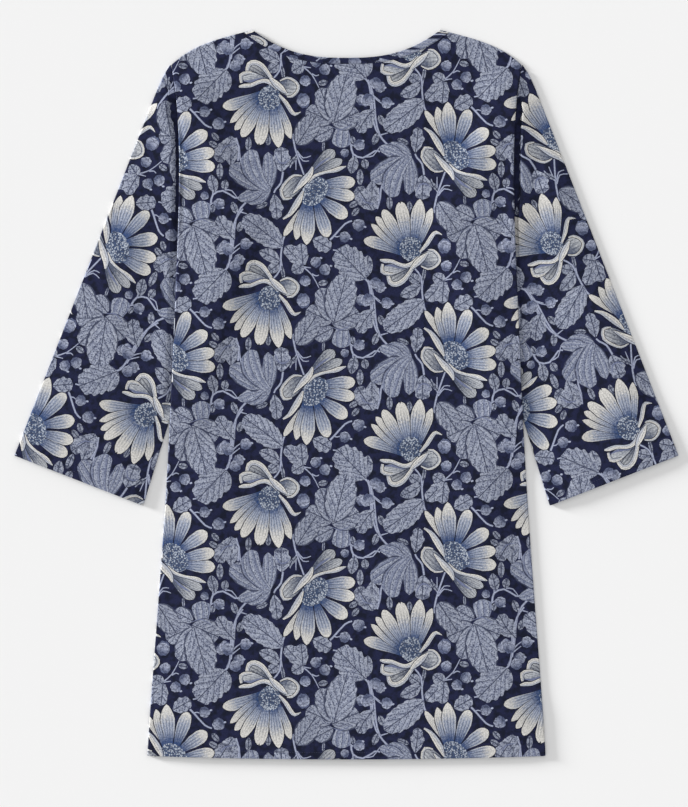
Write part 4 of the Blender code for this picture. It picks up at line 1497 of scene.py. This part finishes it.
def lay_sleeve(cut, side, folds):
    """Lays a cut sleeve. cut is (in from the fold, along the fold), less than 0 for the under half."""
    inward_cut, along_cut = cut[:, 0], cut[:, 1]
    along, turned_in = round_hem(along_cut, CUFF_ALONG)
    radius = sleeve_round(along)
    turn = np.clip((radius - inward_cut) / radius, 0.0, pi)
    under = np.maximum(radius - pi * radius - inward_cut, 0.0)
    upper = np.maximum(inward_cut - radius, 0.0)
    inward = radius * (1 - np.sin(turn)) + under + upper
    bulge = fold_bulge(along)
    place = CUFF_OUTER + (along - CUFF_ALONG)[:, None] * FOLD_WAY + (inward + bulge)[:, None] * INWARD_WAY
    across, depth = place[:, 0], place[:, 1]
    from_seam = np.maximum(inner_edge(along) - bulge - inward, 0.0)
    from_armhole = np.maximum(across - sleeve_reach(depth) - ARMHOLE_GAP, 0.0)
    from_armhole = np.where(depth > UNDERARM[1], 1.0, from_armhole)
    nearest = np.minimum(from_seam, from_armhole)
    out = across - body_half_width(depth) - SLEEVE_LOFT_MARGIN
    loft = (SLEEVE_LOFT + fold_height(folds, across, depth)) * smooth(out / PANEL_EDGE_RAMP)
    from_edge = np.minimum(inward, from_seam)
    loft = loft * smooth(from_edge / SLEEVE_EDGE_RAMP)
    creases = fold_height(SLEEVE_CREASES, across, depth) * smooth(out / CREASE_SIDE_RAMP + 0.5)
    creases = creases * smooth(inward / CREASE_FOLD_RAMP)
    beside = across - body_half_width(depth)
    creases = creases + slot_height(side, beside, depth) * smooth(from_edge / SLOT_EDGE_RAMP)
    top = 2 * radius + loft + creases
    height = np.where(inward_cut >= radius, top, radius * (1 + np.cos(turn)))
    height = np.where(under > 0, 0.0, height)
    rolled = roll_share(nearest, SLEEVE_ROUND) * (1 - turned_in / (2 * HEM_RADIUS))
    height = height + (radius - height) * rolled
    towards = np.where(inward_cut >= radius, -1.0, np.where(under > 0, 1.0, -np.cos(turn)))
    height = height + turned_in * towards
    across = across + turned_in * np.where((turn > 0) & (turn < pi), -np.sin(turn), 0.0) * CUFF_SLANT
    return np.column_stack([side * across, LENGTH / 2 - depth, height])


# %% A sleeve's cut
def beneath(inward, radius):
    """The place on the cut's under half that lies beneath a place on its upper half."""
    return 2 * radius - pi * radius - inward


def sleeve_outline():
    """The flat cut, (in from the fold, along the fold): the upper half, then the under half."""
    armhole = ARMHOLE.copy()
    bulge = fold_bulge(armhole[:, 0])
    upper = np.column_stack([armhole[:, 1] - bulge, armhole[:, 0]])
    upper[0, 0] = 0.0
    alongs = np.linspace(INNER_SEAM[0, 0], CUFF_ALONG - HEM_RADIUS, 60)[1:]
    seam = np.column_stack([inner_edge(alongs), alongs])
    half = np.vstack([upper, seam, turned_edge(*seam[-1])])
    radius = sleeve_round(half[:, 1])
    other = half.copy()
    other[:, 0] = beneath(half[:, 0], radius)
    return np.vstack([half, other[::-1][:-1]])


SLOT_STEPS = (-1.5, -0.4, 0.0, 0.12, 0.26, 0.40, 0.55, 0.70, 0.85, 1.0, 1.4, 2.2)
OFF_FOLD = 0.004


def sleeve_rings(side):
    """Lines that follow the fold, the seams, the slot and the cuff's turn."""
    rings = []
    alongs = np.linspace(0.012, CUFF_ALONG + HEM_WIDTH, 110)
    radius = sleeve_round(np.minimum(alongs, CUFF_ALONG))
    for turn in np.linspace(0.0, pi, 7):
        rings.append(np.column_stack([radius - turn * radius, alongs]))
    seam_alongs = np.linspace(INNER_SEAM[0, 0] + 0.004, CUFF_ALONG - 0.003, 90)
    seam_radius = sleeve_round(seam_alongs)
    for step in ROLL_STEPS:
        line = inner_edge(seam_alongs) - step * SLEEVE_ROUND
        rings.append(np.column_stack([line, seam_alongs]))
        rings.append(np.column_stack([beneath(line, seam_radius), seam_alongs]))
    head_shares = np.linspace(0.02, 0.98, 50)
    for step in ROLL_STEPS:
        line = armhole_seam(head_shares)
        line[:, 0] += step * SLEEVE_ROUND
        laid = sleeve_to_fold(line)
        inwards = laid[:, 1] - fold_bulge(laid[:, 0])
        keep = inwards > OFF_FOLD
        rings.append(np.column_stack([inwards, laid[:, 0]])[keep])
        rings.append(np.column_stack([beneath(inwards, SLEEVE_ROUND), laid[:, 0]])[keep])
    depths = np.linspace(SLOT_OPENS.start + 0.004, 0.46, 130)
    for step in SLOT_STEPS:
        past = slot_width(side, depths) + step * SLOT_WALL[side]
        laid = sleeve_to_fold(np.column_stack([body_half_width(depths) + past, depths]))
        inwards = laid[:, 1] - fold_bulge(laid[:, 0])
        rings.append(np.column_stack([inwards, laid[:, 0]])[inwards > OFF_FOLD])
    width = float(inner_edge(np.array(CUFF_ALONG))) - 0.003
    cuff_width = np.linspace(-width - 0.003, width, 90)
    for turn in np.linspace(0.0, pi, 8):
        rings.append(np.column_stack([cuff_width, np.full(90, CUFF_ALONG - HEM_RADIUS + turn * HEM_RADIUS)]))
    return rings


# Where the sleeves' slots get painted shade: navy ground in place of the motifs.
PAINTED_SHADE_STARTS = SLOT_OPENS.start + 0.010
PAINTED_SHADE_ENDS = {-1: 0.262, 1: 0.247}
PAINTED_SHADE_WALL_SHARE = 0.32
PAINTED_SHADE_BENEATH_BODY = 0.003


def painted_shade_slot(side):
    """The slot beside the body's edge, on a sleeve's cut, as painted shade: navy ground covers the motifs
    there, so that its bottom shows dark.
    """
    depths = np.linspace(PAINTED_SHADE_STARTS, PAINTED_SHADE_ENDS[side], 60)
    ends = smooth((depths - depths[0]) / 0.012) * smooth((depths[-1] - depths) / 0.035)
    uneven = 1 + 0.10 * np.sin(depths * 410 + side) + 0.06 * np.sin(depths * 930)
    width = (slot_width(side, depths) + PAINTED_SHADE_WALL_SHARE * SLOT_WALL[side]) * ends * uneven
    outer = sleeve_to_fold(np.column_stack([body_half_width(depths) + width, depths]))
    inner = sleeve_to_fold(np.column_stack([body_half_width(depths) - PAINTED_SHADE_BENEATH_BODY, depths]))
    outline = np.vstack([outer, inner[::-1]])
    return np.column_stack([outline[:, 1] - fold_bulge(outline[:, 0]), outline[:, 0]])


# %% Both sleeves
def sleeve_print(side, turn, start):
    """Takes the chart to a sleeve's cut: the print is turned about the picture's upright, then shifted.

    start is the chart place that lies at the picture's corner.
    """
    picture_to_chart = np.array([[cos(turn), sin(turn)], [-sin(turn), cos(turn)]])
    chart_to_picture = np.linalg.inv(picture_to_chart)
    squares_to_laid = np.array([[side * SQUARE, 0.0], [0.0, SQUARE]])
    laid_to_cut = np.array([INWARD_WAY, FOLD_WAY])
    matrix = laid_to_cut @ squares_to_laid @ chart_to_picture * MM
    corner = laid_to_cut @ (np.array([-side * CHART_CENTRE[0], -CHART_CENTRE[1]]) * SQUARE - CUFF_OUTER)
    corner = (corner + np.array([0.0, CUFF_ALONG])) * MM
    return matrix, corner - matrix @ np.array(start)


SLEEVES = [
    ("left", -1, LEFT_SLEEVE_FOLDS, radians(24.5), (-35.0, 181.0)),
    ("right", 1, RIGHT_SLEEVE_FOLDS, radians(-22.5), (-6.0, 213.0)),
]
sleeves = {}
for name, side, folds, turn, start in SLEEVES:
    matrix, shift = sleeve_print(side, turn, start)
    sleeve, sleeve_area = make_sheet(
        "printed_" + name + "_sleeve",
        sleeve_outline(),
        sleeve_rings(side),
        matrix,
        shift,
        lambda cut, side=side, folds=folds: lay_sleeve(cut, side, folds),
        side < 0,
        # painted shade: navy ground instead of motifs in the slot
        [painted_shade_slot(side)],
    )
    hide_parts(name + "_sleeve")
    sleeves[name] = sleeve
print("sleeve area:", round(sleeve_area, 3))

# %% [markdown]
# The neck is bound with a narrow strip of the same cloth, cut on the bias so that it takes the curve.
# It lies over the panel's edge, goes round it, and is sewn down inside.

# %% Neck bindings
BINDING_ROUND = 0.0009
BINDING_INSIDE = 0.007
LOWER_EDGE_TUCK = 0.0004
LOWER_EDGE_RUN = 0.0008


def neckline_lengths(drop):
    """Shares across the neckline, and the length along it from its left end up to each of them."""
    shares = np.linspace(-1.0, 1.0, 801)
    path = neckline(shares, drop)
    lengths = np.concatenate([[0.0], np.cumsum(np.linalg.norm(np.diff(path, axis=0), axis=1))])
    return shares, lengths


def lay_binding(cut, drop, faces_up):
    """Lays a strip. cut is (along the neckline, up from the strip's lower edge)."""
    fine, lengths = neckline_lengths(drop)
    share = np.interp(cut[:, 0], lengths, fine)
    edge, seam = neckline(share, drop), neck_seam(share, drop)
    width = np.linalg.norm(edge - seam, axis=1)
    way = (edge - seam) / width[:, None]
    up = cut[:, 1]
    straight = width - BINDING_ROUND
    turn = np.clip((up - straight) / BINDING_ROUND, 0.0, pi)
    back = np.maximum(up - straight - pi * BINDING_ROUND, 0.0)
    reach = np.minimum(up, straight) + BINDING_ROUND * np.sin(turn) - back
    place = seam + way * reach[:, None]
    across, depth = place[:, 0], place[:, 1]
    top = back_top(across, depth) + (BINDING_WALL - WALL)
    bottom = front_underside(across, depth) - (BINDING_WALL - WALL)
    height = top if faces_up else bottom
    middle = (top + bottom) / 2
    from_shoulder = np.maximum((depth - shoulder_depth(across)) * SHOULDER_SLANT, 0.0)
    rolled = roll_share(from_shoulder) * (np.abs(across) > NECK_HALF_WIDTH * 0.99)
    height = height + (middle - height) * rolled * (1 - turn / pi)
    inwards = BINDING_ROUND * (1 - np.cos(turn))
    tucked = LOWER_EDGE_TUCK * (1 - smooth(up / LOWER_EDGE_RUN))
    height = height - inwards - tucked if faces_up else height + inwards + tucked
    return np.column_stack([across, LENGTH / 2 - depth, height])


def binding_outline(drop):
    fine, lengths = neckline_lengths(drop)
    shares = np.linspace(-1.0, 1.0, 160)
    along = np.interp(shares, fine, lengths)
    width = np.linalg.norm(neckline(shares, drop) - neck_seam(shares, drop), axis=1)
    top = width - BINDING_ROUND + pi * BINDING_ROUND + BINDING_INSIDE
    lower = np.column_stack([along, np.zeros_like(along)])
    upper = np.column_stack([along, top])[::-1]
    return np.vstack([lower, upper])


def binding_rings(drop):
    fine, lengths = neckline_lengths(drop)
    shares = np.linspace(-0.997, 0.997, 160)
    along = np.interp(shares, fine, lengths)
    width = np.linalg.norm(neckline(shares, drop) - neck_seam(shares, drop), axis=1)
    rings = []
    for turn in np.linspace(0, pi, 8):
        rings.append(np.column_stack([along, width - BINDING_ROUND + turn * BINDING_ROUND]))
    for up in (0.0003, 0.0008, 0.003):
        rings.append(np.column_stack([along, np.full_like(along, up)]))
    return rings


NECKS = [
    ("back", BACK_NECK_DROP, True, (124.0, -4.0)),
    ("front", FRONT_NECK_DROP, False, (90.0, 90.0)),
]
bindings = {}
for name, drop, faces_up, print_shift in NECKS:
    matrix, shift = print_frame(turn=radians(45), shift=print_shift)
    strip, strip_area = make_sheet(
        name + "_neck_strip",
        binding_outline(drop),
        binding_rings(drop),
        matrix,
        shift,
        lambda cut, drop=drop, faces_up=faces_up: lay_binding(cut, drop, faces_up),
        not faces_up,
    )
    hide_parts(name + "_neck_binding")
    bindings[name] = (strip, strip_area)

# %% [markdown]
# Hems and bindings are sewn down by machine, in navy thread that hardly shows. One stitch is a short thread
# that rises out of the cloth and goes back in. It is modelled once, and a copy is set on the laid cloth at
# every step along a row, turned the way that the row and the cloth run there.

# %% One stitch and its thread
THREAD = 0.00028
STITCH_LENGTH = 0.0025
THREAD_TWIST_SHADE = dye(34, 38, 66)
THREAD_TWIST_HIGHLIGHT = dye(66, 72, 104)


def model_stitch():
    """One stitch along X: a ring of six points, extruded three times."""
    bpy.ops.object.select_all(action="DESELECT")
    bpy.ops.mesh.primitive_circle_add(
        vertices=6,
        radius=THREAD * 0.3,
        fill_type="NGON",
        location=(-STITCH_LENGTH / 2, 0, -THREAD),
        rotation=(0, pi / 2, 0),
    )
    bpy.ops.object.transform_apply(location=True, rotation=True)
    bpy.ops.object.mode_set(mode="EDIT")
    bpy.ops.mesh.select_all(action="SELECT")
    for ahead, up, swell in ((0.2, 1.1, 1.6), (0.6, 0.0, 1.0), (0.2, -1.1, 0.6)):
        move = {"value": (STITCH_LENGTH * ahead, 0.0, THREAD * up)}
        bpy.ops.mesh.extrude_region_move(TRANSFORM_OT_translate=move)
        bpy.ops.transform.resize(value=(1.0, swell, swell))
    bpy.ops.mesh.select_all(action="SELECT")
    bpy.ops.mesh.normals_make_consistent(inside=False)
    bpy.ops.object.mode_set(mode="OBJECT")
    stitch = bpy.context.active_object
    points = np.array([tuple(point.co) for point in stitch.data.vertices])
    faces = [tuple(face.vertices) for face in stitch.data.polygons]
    bpy.ops.object.delete()
    return points, faces


def thread_material():
    """Navy thread, with painted highlight and shade along its twist, over the twist's bump."""
    material = bpy.data.materials.new("navy thread")
    material.use_nodes = True
    tree = material.node_tree
    shader = tree.nodes["Principled BSDF"]
    shader.inputs["Roughness"].default_value = 0.6
    place = new_node(tree, "ShaderNodeTexCoord").outputs["Object"]
    twist = new_node(tree, "ShaderNodeTexWave", {"Vector": place, "Scale": 900.0, "Distortion": 1.0})
    # painted highlight and shade that follow the twist
    colour = tint(tree, twist.outputs["Fac"], THREAD_TWIST_SHADE, THREAD_TWIST_HIGHLIGHT)
    tree.links.new(colour, shader.inputs["Base Color"])
    relief = {"Height": twist.outputs["Fac"], "Strength": 0.4, "Distance": 0.00005}
    bump = new_node(tree, "ShaderNodeBump", relief)
    tree.links.new(bump.outputs[0], shader.inputs["Normal"])
    return material


STITCH_POINTS, STITCH_FACES = model_stitch()
THREAD_MATERIAL = thread_material()
print("a stitch has", len(STITCH_FACES), "faces")

# %% A row of stitches
STITCH_STEP = 0.0031
STITCH_LOOK_AROUND = 0.0004


def sew(name, lay, line, turn_over):
    """A row of stitches on the right side of a laid sheet, along a line on its cut, in metres."""
    steps = np.linalg.norm(np.diff(line, axis=0), axis=1)
    lengths = np.concatenate([[0.0], np.cumsum(steps)])
    at = np.arange(STITCH_STEP / 2, lengths[-1], STITCH_STEP)

    def cut_at(distance):
        return np.column_stack([np.interp(distance, lengths, line[:, axis]) for axis in range(2)])

    middle, ahead = cut_at(at), cut_at(at) - cut_at(at - STITCH_LOOK_AROUND)
    beside = np.column_stack([-ahead[:, 1], ahead[:, 0]])
    here = lay(middle)
    way = lay(middle + ahead) - lay(middle - ahead)
    side = lay(middle + beside) - lay(middle - beside)
    way /= np.linalg.norm(way, axis=1)[:, None]
    up = np.cross(way, side) * (-1.0 if turn_over else 1.0)
    up /= np.linalg.norm(up, axis=1)[:, None]
    side = np.cross(up, way)
    x, y, z = (STITCH_POINTS[:, axis][None, :, None] for axis in range(3))
    points = here[:, None] + way[:, None] * x + side[:, None] * y + up[:, None] * (z + THREAD * 0.1)
    number = len(STITCH_POINTS)
    faces = []
    for first in range(0, number * len(here), number):
        faces += [tuple(first + corner for corner in face) for face in STITCH_FACES]
    mesh = bpy.data.meshes.new(name)
    mesh.from_pydata(points.reshape(-1, 3).tolist(), [], faces)
    mesh.shade_smooth()
    mesh.materials.append(THREAD_MATERIAL)
    row = bpy.data.objects.new(name, mesh)
    bpy.context.scene.collection.objects.link(row)
    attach(row, "root")
    print(name, len(here), "stitches,", len(faces), "faces")
    return row


# %% Sew the hems, the cuffs and the neck
ROW_FROM_EDGE = 0.0088
HEM_ROW_HALF = 0.2510
NECK_ROW_UP = 0.0012
ROW_END_MARGIN = 0.004
hem_across = np.linspace(-HEM_ROW_HALF, HEM_ROW_HALF, 200)
hem_line = np.column_stack([hem_across, hem_depth(hem_across) - ROW_FROM_EDGE])
sew("back_hem_stitches", lambda cut: lay_panel(cut, True), hem_line, True)
sew("front_hem_stitches", lambda cut: lay_panel(cut, False), hem_line, False)
cuff_half = float(inner_edge(np.array(CUFF_ALONG))) - ROW_END_MARGIN
cuff_across = np.linspace(-cuff_half, cuff_half, 200)
cuff_line = np.column_stack([cuff_across, np.full(200, CUFF_ALONG - ROW_FROM_EDGE)])
for name, side, folds, turn, start in SLEEVES:
    sew(
        name + "_cuff_stitches",
        lambda cut, side=side, folds=folds: lay_sleeve(cut, side, folds),
        cuff_line,
        side < 0,
    )
for name, drop, faces_up, _ in NECKS:
    strip_length = binding_outline(drop)[:, 0].max()
    strip_along = np.linspace(ROW_END_MARGIN, strip_length - ROW_END_MARGIN, 200)
    strip_line = np.column_stack([strip_along, np.full(200, NECK_ROW_UP)])
    sew(
        name + "_neck_stitches",
        lambda cut, drop=drop, faces_up=faces_up: lay_binding(cut, drop, faces_up),
        strip_line,
        not faces_up,
    )

# %% [markdown]
# A catalogue picture is taken straight down through a long lens, under a large soft light from the upper
# left. The camera stands six metres up, where the lens sees the surface almost without perspective.

# %% Camera
PICTURE_WIDTH = 688
PICTURE_HEIGHT = 807
VIEW_WIDTH = PICTURE_WIDTH * SQUARE
VIEW_CENTRE = (
    (PICTURE_WIDTH / 2 - CHART_CENTRE[0]) * SQUARE,
    LENGTH / 2 - (PICTURE_HEIGHT / 2 - CHART_CENTRE[1]) * SQUARE,
)
CAMERA_HEIGHT = 6.0
SENSOR_WIDTH = 36.0
FARTHEST_SEEN = 50.0
lens = bpy.data.cameras.new("camera")
lens.sensor_width = SENSOR_WIDTH
lens.sensor_fit = "HORIZONTAL"
lens.lens = SENSOR_WIDTH * CAMERA_HEIGHT / VIEW_WIDTH
lens.clip_end = FARTHEST_SEEN
camera = bpy.data.objects.new("camera", lens)
camera.location = (*VIEW_CENTRE, CAMERA_HEIGHT)
bpy.context.scene.collection.objects.link(camera)
bpy.context.scene.camera = camera
print("lens:", round(lens.lens), "mm")

# %% Light
SKY_STRENGTH = 0.70
SUN_STRENGTH = 5.9
LIGHT_HEIGHT = radians(9)
LIGHT_FROM = radians(248)
LIGHT_SPREAD = radians(11)
world = bpy.data.worlds.new("studio")
bpy.context.scene.world = world
world.use_nodes = True
world.node_tree.nodes["Background"].inputs["Color"].default_value = (1.0, 1.0, 1.0, 1.0)
world.node_tree.nodes["Background"].inputs["Strength"].default_value = SKY_STRENGTH
sun = bpy.data.lights.new("soft light", "SUN")
sun.energy = SUN_STRENGTH
sun.angle = LIGHT_SPREAD
lamp = bpy.data.objects.new("soft light", sun)
lamp.rotation_euler = (pi / 2 - LIGHT_HEIGHT, 0.0, LIGHT_FROM)
bpy.context.scene.collection.objects.link(lamp)
bpy.context.scene.view_settings.view_transform = "Standard"
print("light:", sun.name, "and", world.name)

# %% [markdown]
# Last, each sheet says the size that it was cut to. The sizes are those of what shows: a real maker adds
# seam allowances round them.

def cut_size(outline):
    size = outline.max(0) - outline.min(0)
    return float(size[0]), float(size[1])


def say_sheet(piece, flat, below):
    """Says a sheet's cut and what it rests on."""
    print(piece.name, "is cut", [round(size, 3) for size in flat], "metres and rests on", below.name)


say_sheet(back, cut_size(back_outline), front)
say_sheet(front, cut_size(front_outline), surface)
for name, sleeve in sleeves.items():
    say_sheet(sleeve, cut_size(sleeve_outline()), surface)
for name, drop, faces_up, _ in NECKS:
    strip, strip_area = bindings[name]
    length, width = cut_size(binding_outline(drop))
    say_sheet(strip, (width, length), back if faces_up else front)
